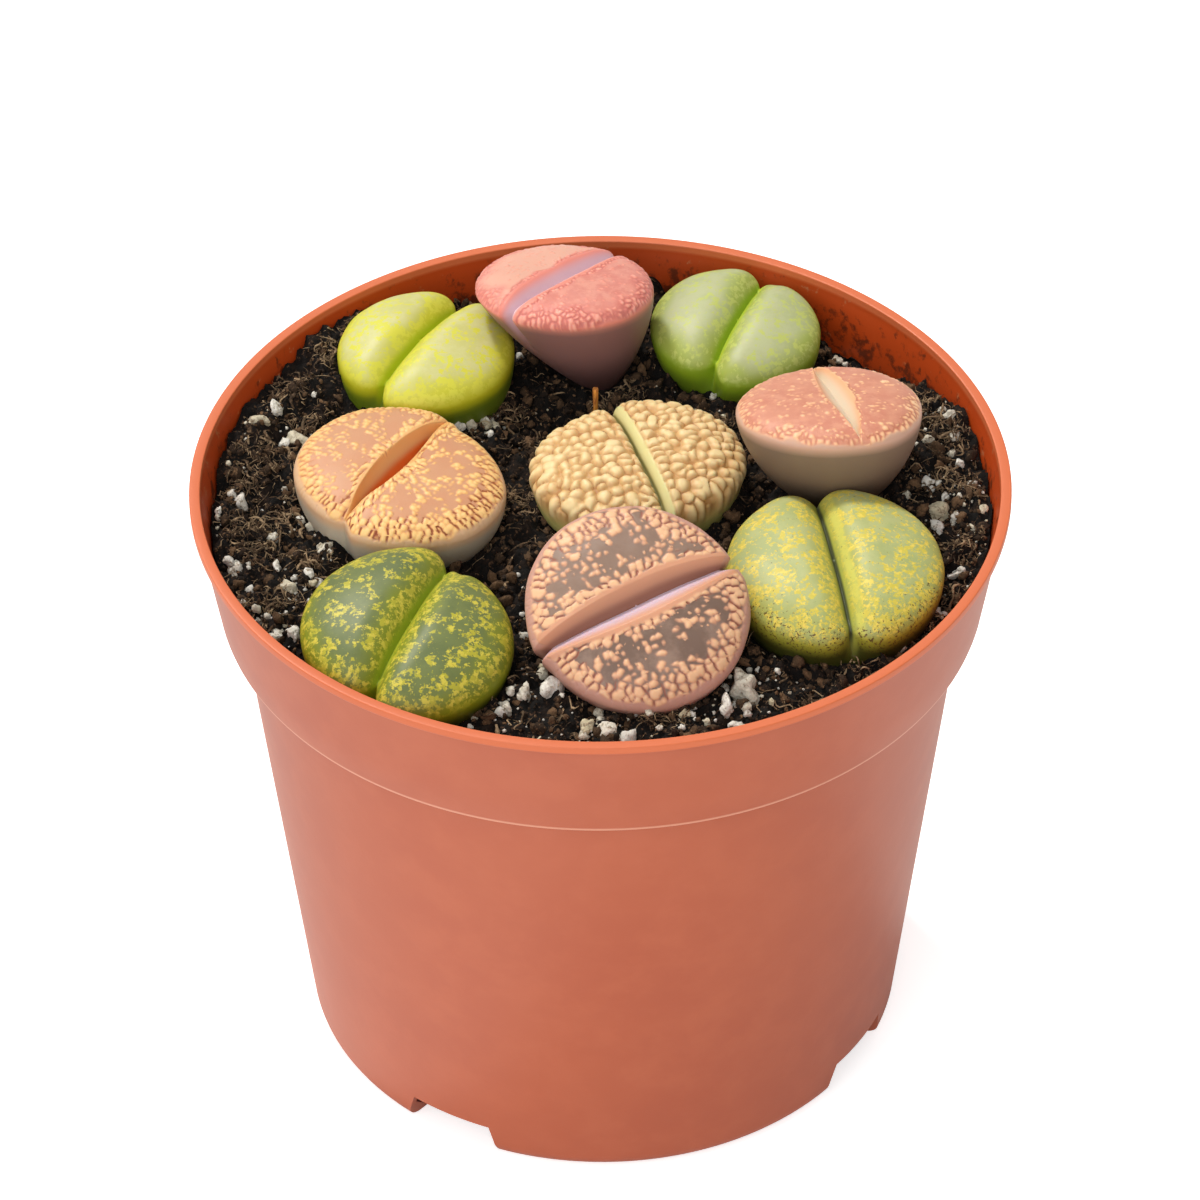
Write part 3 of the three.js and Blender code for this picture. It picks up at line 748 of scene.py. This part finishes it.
def marks_of(name, plant, skin, seed):
    """Every mask of a plant's skin by its name, and how high its marks stand in mm."""
    x, y, down = skin.x, skin.y, skin.down
    if name in ISLANDS:
        marks, height = island_marks(skin, plant, ISLANDS[name], seed + 20)
    elif name == "cream":
        marks, height = knob_marks(skin, seed + 20)
    else:
        marks, height = fleck_marks(skin, seed + 30)
    part = np.abs(x) / np.minimum(groove_width(plant, y), plant.wall)  # of the way up the fissure's wall
    opened = is_open(plant, y, down)
    walls = smooth(1.3 - 1.3 * part) * (1 - smooth(down / 0.3)) * opened
    marks.update(
        # The side is partly its own duller colour and partly painted shade; the foot is painted darker still
        # as painted shade where the body curves under towards the soil.
        side=smooth(down / plant.side_fade),
        foot=smooth((down - 0.3) / 0.5),
        left_lobe=smooth(-x / 2),
        # The fissure's two walls are painted as a lit and a shaded copy: the near wall, which faces the
        # lamp, as its lit copy and the far wall as its shaded copy.
        far_wall=walls * (x < 0),
        near_wall=walls * (x >= 0),
        # Deep in the fissure: painted shade on the mauve, and on the orange a painted orange glow, as of
        # light coming through the leaf.
        slot=smooth(1.6 - 2.6 * part) * (1 - smooth(down / 0.2)) * opened,
    )
    return marks, height + 0.12 * drift(x, y, 6, seed, 2) * (1 - down)


# %% [markdown]
# ## Skins
# A lithops' skin is a waxy, slightly translucent cuticle over juicy flesh, so its index is that of
# leaf wax, about 1.45, its gloss is soft, and light goes a millimetre or so into it before it comes
# back. Under that, every plant has its own coats: a window, islands or flecks, channels, and a rim that
# turns over to the side. Some coats are painted light and shade: the crests carry a painted highlight,
# the side is partly its own duller colour and partly painted shade, the foot is painted darker as shade
# towards the soil, and the fissure's two walls are painted as a lit near wall and a shaded far wall.

# %% One skin from its coats
FLESH = {  # how much light goes into the skin, and how far its red, green and blue go
    "Subsurface Weight": 0.25, "Subsurface Radius": (1.0, 0.55, 0.3), "Subsurface Scale": 1.4 * MM}
ROUGH = {"green": 0.48}  # every other skin has a roughness of 0.5
MOTTLE = dict(mottle=(2.2, 0.42, 0.62, None, 0), cloud=(6.0, 0.4, 0.65, None, 0))  # on every skin


def skin_material(name, ground, coats, flecks=None):
    """A skin whose coats are masks on the mesh, or flecks of noise that crowd where a mask says."""
    rough = ROUGH.get(name, 0.5)
    material, tree, shader, place = start_material("waxy_skin_" + name, rough, 1.45, **FLESH)
    flecks = {**MOTTLE, **(flecks or {})}
    masks = {}

    def mask(word):
        """A mask by name: an attribute of the mesh, or one of the fleck patterns."""
        if word not in masks:
            if word in flecks:
                size, low, high, crowd, strength = flecks[word]
                more = (mask(crowd), strength) if crowd else None
                masks[word] = patches(tree, place, size, low, high, 6.0, 0.66, more)
            else:
                masks[word] = attribute(tree, word)
        return masks[word]

    paint(tree, shader, ground, [(mask(word), code) for word, code in coats.items()])
    bumps(tree, shader, [(speckle(tree, place, 0.3, 3.0), 0.04, 0.3)])
    return material


# Some of these coats are painted light and shade. The crests carry a painted highlight. The side is partly
# its own duller colour and partly painted shade, and the foot is painted shade towards the soil. The
# fissure's near wall is painted as a lit copy and its far wall as a shaded copy. Deep in the slot the mauve
# has painted shade and the orange a painted glow. The cream's creases and the fissure lines of the cream and
# the yellow are painted shade, and the yellow's band by its fissure is a painted highlight.
SKINS = {  # the ground, the coats over it, then fleck patterns: size, low, high, where they crowd, how much
    "mauve": ("786052", dict(
        left_lobe="8c7160", cloud="947a6a", island="d29877", crest_highlight="e8ba90", channel="9c5c48", rim="c69685",
        side="8c5c4e", foot="54362c", far_wall="b07c64", slot="90604e", near_wall="d8c0ce")),
    "orange": ("cd9670", dict(
        cloud="cd926c", island="e6ad68", crest_highlight="f4c884", channel="cc8450", dark_channel="8c3e1c",
        rim="dcb48c", side="c8bca6", foot="b4a68c", far_wall="c4986c", near_wall="d8842c", slot="c8601c")),
    "pink": ("d88a7c", dict(
        cloud="d48072", mottle="e09886", left_lobe="e0a892", crowd="d87c70", island="e48e7c",
        crest_highlight="f0a894", channel="cc7468", side="8a6460", foot="5e403e", far_wall="cfa8b2",
        near_wall="e8d4dc")),
    "tan": ("cf8a70", dict(
        cloud="ca8068", mottle="d69478", island="e8b084", crest_highlight="f6c89c", channel="c47c60", rim="d2a890",
        side="88725f", foot="544536", far_wall="dcc8b0", near_wall="dac6aa")),
    "cream": ("cfa268", dict(
        cloud="cba066", crest_highlight="ead09a", channel="a0662c", band="dcd294", side="c4bc70", foot="8c8a40",
        far_wall="a8985a", near_wall="c8bc80", fissure_shade_line="7c7440")),
    "lime": ("ccc98a", dict(
        cloud="c4c276", crowd="c6c434", fleck="d2cf44", rim="bebc18", side="627410", foot="38500a",
        far_wall="a8b414", near_wall="b4c01c"),
        dict(clump=(3.5, 0.45, 0.6, "crowd", 0.1), fleck=(1.0, 0.56, 0.64, "clump", 0.12))),
    "pale": ("b4b88a", dict(
        cloud="a9af7c", crowd="a0ac4c", fleck="b8c064", rim="8fac1e", side="6c8418", foot="3e580c",
        far_wall="86a21a", near_wall="b0c230"),
        dict(clump=(3.5, 0.45, 0.6, "crowd", 0.08), fleck=(1.0, 0.57, 0.64, "clump", 0.1))),
    "green": ("636f3e", dict(
        cloud="6f7942", crowd="828a1e", fleck="b2aa32", spark="ccbe44", rim="909c14", side="4c520e",
        foot="2a2e08", far_wall="84961c", near_wall="a4aa26"),
        dict(clump=(2.6, 0.47, 0.57, "crowd", 0.08), fleck=(0.95, 0.61, 0.66, "clump", 0.14),
             spark=(0.8, 0.63, 0.68, "clump", 0.11))),
    "yellow": ("b0b478", dict(
        cloud="a2aa6c", crowd="a6a858", fleck="ccbc48", spark="dec854", fissure_edge_highlight="c6c25a",
        rim="9c9a30", dot="5e4a22", side="3e4010", foot="1c1e06", far_wall="8c8e34", near_wall="a4a646",
        fissure_shade_line="4c5232"),
        dict(clump=(2.4, 0.45, 0.56, "crowd", 0.07), fleck=(0.8, 0.6, 0.65, "clump", 0.14),
             spark=(0.7, 0.63, 0.68, "clump", 0.11), dot=(0.42, 0.65, 0.68, "front_edge", 0.1))),
}
print("skins planned for", len(SKINS), "plants")

# %% Make the nine plants


def make_plant(name, plant, seed):
    """One plant as a finely divided ball that its numbers, its fissure and its marks have shaped."""
    margin = TOP_SHARE * math.pi
    top = np.linspace(0, margin, plant.top_rings, endpoint=False)
    angles = [*top, *np.linspace(margin, math.pi, plant.low_rings)]
    outline = [(0 if angle in (0, math.pi) else math.sin(angle), math.cos(angle)) for angle in angles]
    mesh = mesh_from(rolled(outline, plant.segments), name)
    skin = skin_coordinates(points_of(mesh), plant)
    marks, relief = marks_of(name, plant, skin, seed)
    for word, values in marks.items():
        note(mesh, word, values)
    move_points(mesh, plant_points(skin, plant, relief))
    waxy = skin_material(name, *SKINS[name])
    add_piece(name + "_living_stone", mesh, waxy, "lithops_" + name, 0)


for number, (name, plant) in enumerate(PLANTS.items()):
    make_plant(name, plant, 100 * (number + 1))

# %% [markdown]
# ## The soil
# The pot is filled to about 7 mm below its rim with dark, crumbly peat. It is heaped against the wall
# at the back left and the right. The bed is rolled like the pot, and its top is roughened by soft
# drifts from 6 mm down to under 1 mm wide. Loose crumbs, shreds of fibre and perlite lie on it as
# separate small shapes, each placed by a seeded draw.

# %% Height of the soil
SOIL_LEVEL, GAP = 90, 0.3
HEAPS = [  # degrees from the back towards +X, radius, spread, rise
    (-44, 56, 9, 4.2), (-68, 56, 10, 3.2), (70, 56, 11, 3.6), (100, 55, 10, 1.8),
    (46, 54, 8, -3), (-5, 27, 7, -2.2), (-100, 42, 5, 1.5), (176, 54, 14, 0.8),
]


def soil_height(x, y):
    """Height of the soil's heaps and hollows over a place, in mm."""
    height = SOIL_LEVEL + 0 * x
    for bearing, radius, spread, rise in HEAPS:
        dx = x - radius * math.sin(math.radians(bearing))
        dy = y - radius * math.cos(math.radians(bearing))
        height = height + rise * np.exp(-(dx * dx + dy * dy) / (2 * spread * spread))
    height = height + 0.45 * np.sin(0.55 * x + 1.3) * np.cos(0.5 * y + 0.4)
    return height + 0.3 * np.sin(1.1 * x - 0.7 * y) + 0.25 * np.cos(0.9 * y + 1.2 * x + 2)


def crumble(x, y):
    """The fine roughness on top of the heaps, in mm."""
    lumps = drift(x, y, 6, 61) + 0.9 * drift(x, y, 2.8, 62)
    ridges = 1.1 * (0.5 - np.abs(drift(x, y, 1.7, 63))) + 0.6 * drift(x, y, 0.8, 64)
    return lumps + ridges - 0.3


def bed_height(x, y):
    """Height of the finished bed, in mm."""
    return soil_height(x, y) + crumble(x, y) - 0.5


heights = [round(float(soil_height(r, 0.0)), 1) for r in (-50.0, 0.0, 50.0)]
print("soil stands at", heights, "mm across the middle")

# %% Bed of soil
SOIL_EDGE = collar_radius(SOIL_LEVEL) - WALL - GAP
BED_TURNS, BED_RINGS = 600, 108


def soil_bed():
    """The bed down to the pot's floor. Where it meets the wall, its edge follows the wall's slope."""
    bottom = FLOOR_TOP + GAP
    outline = [
        (0, bottom),
        (body_radius(bottom) - WALL - GAP, bottom),
        (body_radius(LEDGE_TOP) - WALL - GAP, LEDGE_TOP),
        (collar_radius(LEDGE_TOP) - WALL - GAP, LEDGE_TOP + 2 * GAP),
        *[(SOIL_EDGE * (1 - share**1.25), SOIL_LEVEL) for share in np.linspace(0, 1, BED_RINGS)],
    ]
    mesh = mesh_from(rolled(outline, BED_TURNS), "soil_bed")
    x, y, z = points_of(mesh).T
    top = z > SOIL_LEVEL - 1
    height = bed_height(x, y)
    at_wall = top & (np.hypot(x, y) > SOIL_EDGE - 0.3)
    stretch = 1 + np.where(at_wall, COLLAR_SLOPE * (height - SOIL_LEVEL) / SOIL_EDGE, 0)
    move_points(mesh, np.column_stack([x * stretch, y * stretch, np.where(top, height, z)]))
    return mesh


# %% [markdown]
# ## Peat and perlite
# Peat is half-rotted moss: matt, nearly black where it is damp, and brown where shreds of fibre have
# dried in the sun. Its index hardly matters, because it has almost no gloss. Perlite is volcanic
# glass that was puffed up by heat. It is white, brittle and full of tiny pits that catch dirt.

# %% Materials of the peat and the perlite


def peat_material(name, ground, layers, size):
    """Peat with two sizes of paler specks, and dry pieces that take the last layer's colour."""
    material, tree, shader, place = start_material(name, 0.92, 1.5, **{"Specular IOR Level": 0.25})
    specks = [(patches(tree, place, wide, low, high, 5.0, 0.65), code) for wide, low, high, code in layers]
    dry = times(tree, attribute(tree, "tint"), 0.8)
    paint(tree, shader, ground, [*specks, (dry, layers[-1][3])])
    bumps(tree, shader, [(speckle(tree, place, size, 6.0), 0.5, 0.8)])
    return material


damp_peat, peat_crumb, dry_fibre = [peat_material(*row) for row in (
    ("damp_peat", "0d0a08", [(2.2, 0.48, 0.62, "1f150e"), (0.8, 0.58, 0.68, "5a4230")], 0.5),
    ("peat_crumbs", "150f0b", [(1.1, 0.47, 0.62, "2c2018"), (0.6, 0.55, 0.66, "7c5f44")], 0.35),
    ("dry_fibre", "2c2016", [(1.2, 0.42, 0.6, "5c4634"), (0.7, 0.56, 0.68, "c8aa84")], 0.3))]

perlite_glass, tree, shader, place = start_material("puffed_perlite", 0.75, 1.5, **{
    "Subsurface Weight": 0.3, "Subsurface Radius": (1.0, 0.95, 0.85), "Subsurface Scale": 0.8 * MM})
dirt = patches(tree, place, 0.9, 0.52, 0.66, 5.0, 0.7)
paint(tree, shader, "dedad0", [(attribute(tree, "tint"), "c4b898"), (dirt, "857660")])
pits = add(tree, "TexVoronoi", {"Vector": place, "Scale": PER_MM / 0.5}).outputs["Distance"]
bumps(tree, shader, [(pits, 0.25, 0.7)])

bed = soil_bed()
note(bed, "tint", 0)
add_piece("soil_bed", bed, damp_peat, "soil", 0)

# %% Small shapes: crumbs, shreds and chips
lot = random.Random(5)
POT_REACH = 59  # mm from the axis that a draw may fall


def swing():
    """A draw between -1 and 1."""
    return lot.random() * 2 - 1


def drawn_size(least, more, power):
    """A size in mm, from the least one up. The higher the power, the fewer are large."""
    return least + more * lot.random() ** power


def nugget(divisions, lumps, grit):
    """A ball of unit radius with broad lumps and fine grit, for a crumb or a chip."""
    bm = bmesh.new()
    bmesh.ops.create_icosphere(bm, subdivisions=divisions, radius=1)
    shift = Vector([lot.random() * 50 for _ in range(3)])
    for vert in bm.verts:
        swell = lumps * noise.noise(vert.co * 1.1 + shift) + grit * noise.noise(vert.co * 3.1 + shift)
        vert.co *= 1 + swell + 0.15 * grit * swing()
    return mesh_from(bm, "nugget")


def rod(sides, low, high, cuts):
    """A rod one unit long, with its two radii and its rings of points."""
    bm = bmesh.new()
    bmesh.ops.create_cone(bm, cap_ends=True, segments=sides, radius1=low, radius2=high, depth=1)
    long_edges = [edge for edge in bm.edges if abs(edge.verts[0].co.z - edge.verts[1].co.z) > 0.5]
    bmesh.ops.subdivide_edges(bm, edges=long_edges, cuts=cuts)
    return bm


def shred(cuts, curl):
    """A flat strand one unit long and one unit wide, tapered to both ends and curled."""
    bm = rod(4, 0.5, 0.5, cuts)
    sway = [swing() * curl for _ in range(4)]
    for vert in bm.verts:
        along = vert.co.z
        slim = 1 - 1.5 * abs(along) ** 1.5 + 0.25 * swing()
        vert.co.x = vert.co.x * slim + sway[0] * math.cos(3 * along) + sway[1] * math.sin(7 * along)
        vert.co.y = vert.co.y * slim * 0.5 + sway[2] * math.cos(3.5 * along) + sway[3] * math.sin(6 * along)
    return mesh_from(bm, "shred")


def gather(name, placed):
    """Many small shapes as one mesh. Each is a mesh, its place as a matrix in mm, and its tint."""
    bm = bmesh.new()
    tints = []
    for shape, matrix, tint in placed:
        copy = shape.copy()
        copy.transform(Matrix.Scale(MM, 4) @ matrix)
        bm.from_mesh(copy)
        tints += [tint] * len(copy.vertices)
        bpy.data.meshes.remove(copy)
    mesh = mesh_from(bm, name)
    note(mesh, "tint", np.array(tints))
    return mesh


def at_soil(plant):
    """Where a plant's body goes into the soil: its middle and its half width there, in mm."""
    down = min(max((plant.at[2] - SOIL_LEVEL) / plant.depth, 0), 1)
    half = float(side_reach(plant, down) * mean_reach(plant))
    return plant.at[0] + plant.skew[0] * down, plant.at[1] + plant.skew[1] * down, half


FOOTPRINTS = [at_soil(plant) for plant in PLANTS.values()]


def is_free(x, y, room):
    """True where a small shape touches neither a plant nor the wall."""
    if math.hypot(x, y) > SOIL_EDGE - room:
        return False
    return all(math.hypot(x - px, y - py) > half + 0.5 * room for px, py, half in FOOTPRINTS)


def ground(x, y):
    """Height of the finished bed at one place."""
    return float(bed_height(np.array([x]), np.array([y]))[0])


def resting(x, y, size, sunk, squash=(1, 1, 1)):
    """A random turn and a size for a shape that lies on the soil, as a matrix in mm."""
    turn = Euler([lot.random() * 6.3 for _ in range(3)]).to_matrix().to_4x4()
    stretch = Matrix.Diagonal((size * squash[0], size * squash[1], size * squash[2], 1))
    return Matrix.Translation((x, y, ground(x, y) + (0.6 - sunk) * size)) @ turn @ stretch


def somewhere(places=(), share=0.0, spread=0.0):
    """A random place in the pot. A share of the draws falls round one of the places given."""
    if places and lot.random() < share:
        near = lot.choice(places)
        return near[0] + lot.gauss(0, spread), near[1] + lot.gauss(0, spread)
    return lot.uniform(-POT_REACH, POT_REACH), lot.uniform(-POT_REACH, POT_REACH)


def put_on_soil(name, placed, material):
    """Small shapes as one piece that stands for the soil."""
    add_piece(name, gather(name, placed), material, "soil", 0)


print("footprints", [round(half, 1) for _, _, half in FOOTPRINTS])

# %% Peat crumbs
CRUMBS = 4600
small_crumbs = [nugget(1, 0.5, 0.5) for _ in range(8)]
large_crumbs = [nugget(2, 0.7, 0.6) for _ in range(10)]
crumbs = []
while len(crumbs) < CRUMBS:
    x, y = somewhere()
    size = drawn_size(0.28, 0.8, 3.5)
    if is_free(x, y, size):
        shape = lot.choice(large_crumbs if size > 0.6 else small_crumbs)
        squash = (1, 0.5 + 0.5 * lot.random(), 0.4 + 0.5 * lot.random())
        crumbs.append((shape, resting(x, y, size, 0.4, squash), lot.random() ** 2.2))
put_on_soil("peat_crumbs", crumbs, peat_crumb)

# %% Shreds of fibre
FIBRES = 3400
TUFT_SHARE, TUFT_SPREAD = 0.6, 2  # how many of them lie in the tufts, and how widely in mm
shred_shapes = [shred(5, 1.5) for _ in range(14)]
TUFTS = [(-50, 12), (-47, 27), (-44, 5), (-52, -3), (-42, -12), (-40, 34), (-46, -18), (52, 14), (49, 24),
         (47, -12), (51, -20), (30, -44), (38, -38), (-8, 18), (18, 20), (-34, -48), (8, -46), (14, 8),
         (-53, 6), (-50, -8), (-47, -1), (-43, 20), (-51, -22), (-38, 41), (54, 4), (50, 6), (53, -10),
         (46, -28), (50, 18), (-14, 26), (3, 30), (-12, 3), (44, 32)]
fibres = []
while len(fibres) < FIBRES:
    x, y = somewhere(TUFTS, TUFT_SHARE, TUFT_SPREAD)
    length = drawn_size(0.9, 2.9, 2.5)
    if is_free(x, y, 0.45 * length):
        thick = (0.12 + 0.4 * lot.random() ** 2) * (0.6 + 0.2 * length)
        lie = Euler((math.radians(90 + lot.gauss(0, 25)), 0, lot.random() * 6.3)).to_matrix().to_4x4()
        stretch = Matrix.Diagonal((thick, thick, length, 1))
        spot = Matrix.Translation((x, y, ground(x, y) + 0.15 + 0.45 * lot.random()))
        fibres.append((lot.choice(shred_shapes), spot @ lie @ stretch, lot.random() ** 2))
put_on_soil("peat_fibres", fibres, dry_fibre)

# %% Perlite chips
LARGE_CHIPS = [  # place from the pot's middle and width, in mm
    (-7, -41, 4.1), (-8.5, -35, 2.7), (-11, -42, 2.4), (-14, -43.5, 2.7), (0, -46.5, 2.2), (-2, -49.5, 2.7),
    (0.5, -50, 3.7), (3.5, -50.5, 2.7), (20.5, -40, 5.2), (17, -39.5, 2.7), (17.5, -45, 3), (19, -47.5, 2.4),
    (22.5, -36.5, 1.8), (12, -46, 1.8), (24, -43.5, 1.5), (-50.5, 19, 3.7), (-48, 21, 2.4), (-53, 3.5, 3.6),
    (-45, 16, 3), (-40.5, -8, 3), (-42.5, -2, 2.2), (-45, -16, 2.7), (-46, -25.5, 3.6), (-44, -27, 2.8),
    (-49.5, -22, 1.8), (-46.5, -21.5, 1.5), (-53.5, -10, 3.2), (48.5, 5.5, 2.7), (52, 18, 2.2),
    (48.5, 13.5, 2.4), (49.5, -1.5, 3.7), (49, -6, 2.4), (51, -14.5, 2.2), (48.5, -23.5, 1.8),
    (42.5, -30.5, 2.7), (55, 4.5, 1.5), (-21.6, 20.6, 3), (-19.4, 21.6, 3.6), (17, 28, 1.5),
    (35.5, 41.5, 2.1), (-11, -27.5, 2.1), (-18.5, -46.5, 1.3), (52, -3, 2), (53, 9, 1.6), (50.5, 1.5, 1.8),
    (47.5, -17, 1.7), (54, -5, 1.4), (-42, -20, 1.6), (-47, -12, 1.5), (-56, 0, 1.4),
    (-17, 22.9, 2.8), (-14.8, 21.5, 1.6),
]
CHIPS = 600
NEAR_SHARE, NEAR_SPREAD = 0.65, 3.5  # how many chips lie near a large one, and how widely in mm
chip_shapes = [nugget(3, 0.7, 0.2) for _ in range(9)]
small_shapes = [nugget(2, 0.55, 0.3) for _ in range(6)]
speck_shapes = [nugget(1, 0.5, 0.5) for _ in range(5)]
chips = []
for x, y, wide in LARGE_CHIPS:
    squash = (1, 0.7 + 0.3 * lot.random(), 0.5 + 0.25 * lot.random())
    chips.append((lot.choice(chip_shapes), resting(x, y, wide / 2, 0.5, squash), lot.random() ** 2))
while len(chips) < CHIPS:
    x, y = somewhere(LARGE_CHIPS, NEAR_SHARE, NEAR_SPREAD)
    size = drawn_size(0.2, 0.75, 5)
    if is_free(x, y, size):
        shape = lot.choice(small_shapes if size > 0.45 else speck_shapes)
        chips.append((shape, resting(x, y, size, 0.25), lot.random() ** 2))
put_on_soil("perlite_chips", chips, perlite_glass)

# %% [markdown]
# ## The dry stalk
# Behind the cream plant stands the dry stalk of an old flower. It is a thin, uneven, orange-brown
# stick that bows a little, and its upper end is thicker.

# %% Stalk
STALK_FROM, STALK_TO = Vector((-1.2, 21.5, 84)), Vector((-0.6, 21.2, 97))
STALK_BOW, STALK_WEAR = 0.4, 0.12  # mm at its middle, and a share of its radius
stalk_bark, tree, shader, place = start_material("dry_flower_stalk", 0.8, 1.5)
streak = add(tree, "Mapping", {"Vector": place, "Scale": (1, 1, 0.15)}).outputs["Vector"]
bands = patches(tree, streak, 0.35, 0.4, 0.6)
paint(tree, shader, "e0963c", [(bands, "a8622a")])
bumps(tree, shader, [(bands, 0.1, 0.6)])
bm = rod(14, 0.3, 0.42, 16)
length = (STALK_TO - STALK_FROM).length
aim = (STALK_TO - STALK_FROM).to_track_quat("Z", "Y").to_matrix()
for vert in bm.verts:
    share = vert.co.z + 0.5
    vert.co.x *= 1 + STALK_WEAR * swing()
    vert.co.y *= 1 + STALK_WEAR * swing()
    vert.co.x += STALK_BOW * math.sin(math.pi * share)
    vert.co.z = share * length
    vert.co = (aim @ vert.co + STALK_FROM) * MM
add_piece("withered_stalk", mesh_from(bm, "withered_stalk"), stalk_bark, "dry_stalk", 0)

# %% [markdown]
# ## Floor and light
# The pot stands on a white table in a white room. A warm, fairly broad lamp shines from behind on the
# left and above, as low sun through a window would, and lights the tops of the plants. The white room
# and a broad soft box at the front light the rest, so shadows stay soft. The camera sees the room as
# pure white, though as a lamp it is dimmer, so that the peat and the sides of the plants stay dark.

# %% Floor, room and lamps
TABLE_RADIUS = 1.6  # metres
TABLE_GLOW = 0.6  # the table is lit from beneath for the camera alone, as a light table is
ROOM_LIGHT = 0.45  # how bright the white room is as a lamp
bm = bmesh.new()
bmesh.ops.create_circle(bm, cap_ends=True, segments=96, radius=TABLE_RADIUS)
floor = into_scene("floor", mesh_from(bm, "floor"))
white_table, tree, shader, place = start_material("white_table", 0.9, 1.45, **{
    "Base Color": colour("f2f2f2"), "Emission Color": (1, 1, 1, 1), "Specular IOR Level": 0.1})
seen = add(tree, "LightPath").outputs["Is Camera Ray"]
tree.links.new(times(tree, seen, TABLE_GLOW), shader.inputs["Emission Strength"])
floor.data.materials.append(white_table)

world = bpy.data.worlds.new("white_room")
world.use_nodes = True
room = world.node_tree
seen = add(room, "LightPath").outputs["Is Camera Ray"]
level = add(room, "MapRange", {"Value": seen, "To Min": ROOM_LIGHT, "To Max": 1.0}).outputs["Result"]
room.nodes["Background"].inputs["Color"].default_value = (1, 1, 1, 1)
room.links.new(level, room.nodes["Background"].inputs["Strength"])
bpy.context.scene.world = world


def add_lamp(name, towards, strength, tint, spread):
    """A far lamp, which lights everything from one side. Spread is its width in the sky in degrees."""
    lamp = bpy.data.lights.new(name, "SUN")
    lamp.energy = strength
    lamp.color = tint
    lamp.angle = math.radians(spread)
    holder = into_scene(name, lamp)
    holder.matrix_world = Vector(towards).to_track_quat("-Z", "Y").to_matrix().to_4x4()


add_lamp("window_light", (0.38, -0.58, -0.95), 2.3, (1.0, 0.96, 0.9), 9)
add_lamp("soft_box", (0.35, 0.85, -0.6), 1.6, (1.0, 1.0, 1.0), 60)
bpy.context.scene.view_settings.view_transform = "Standard"
print(sum(triangles.values()), "triangles in all")
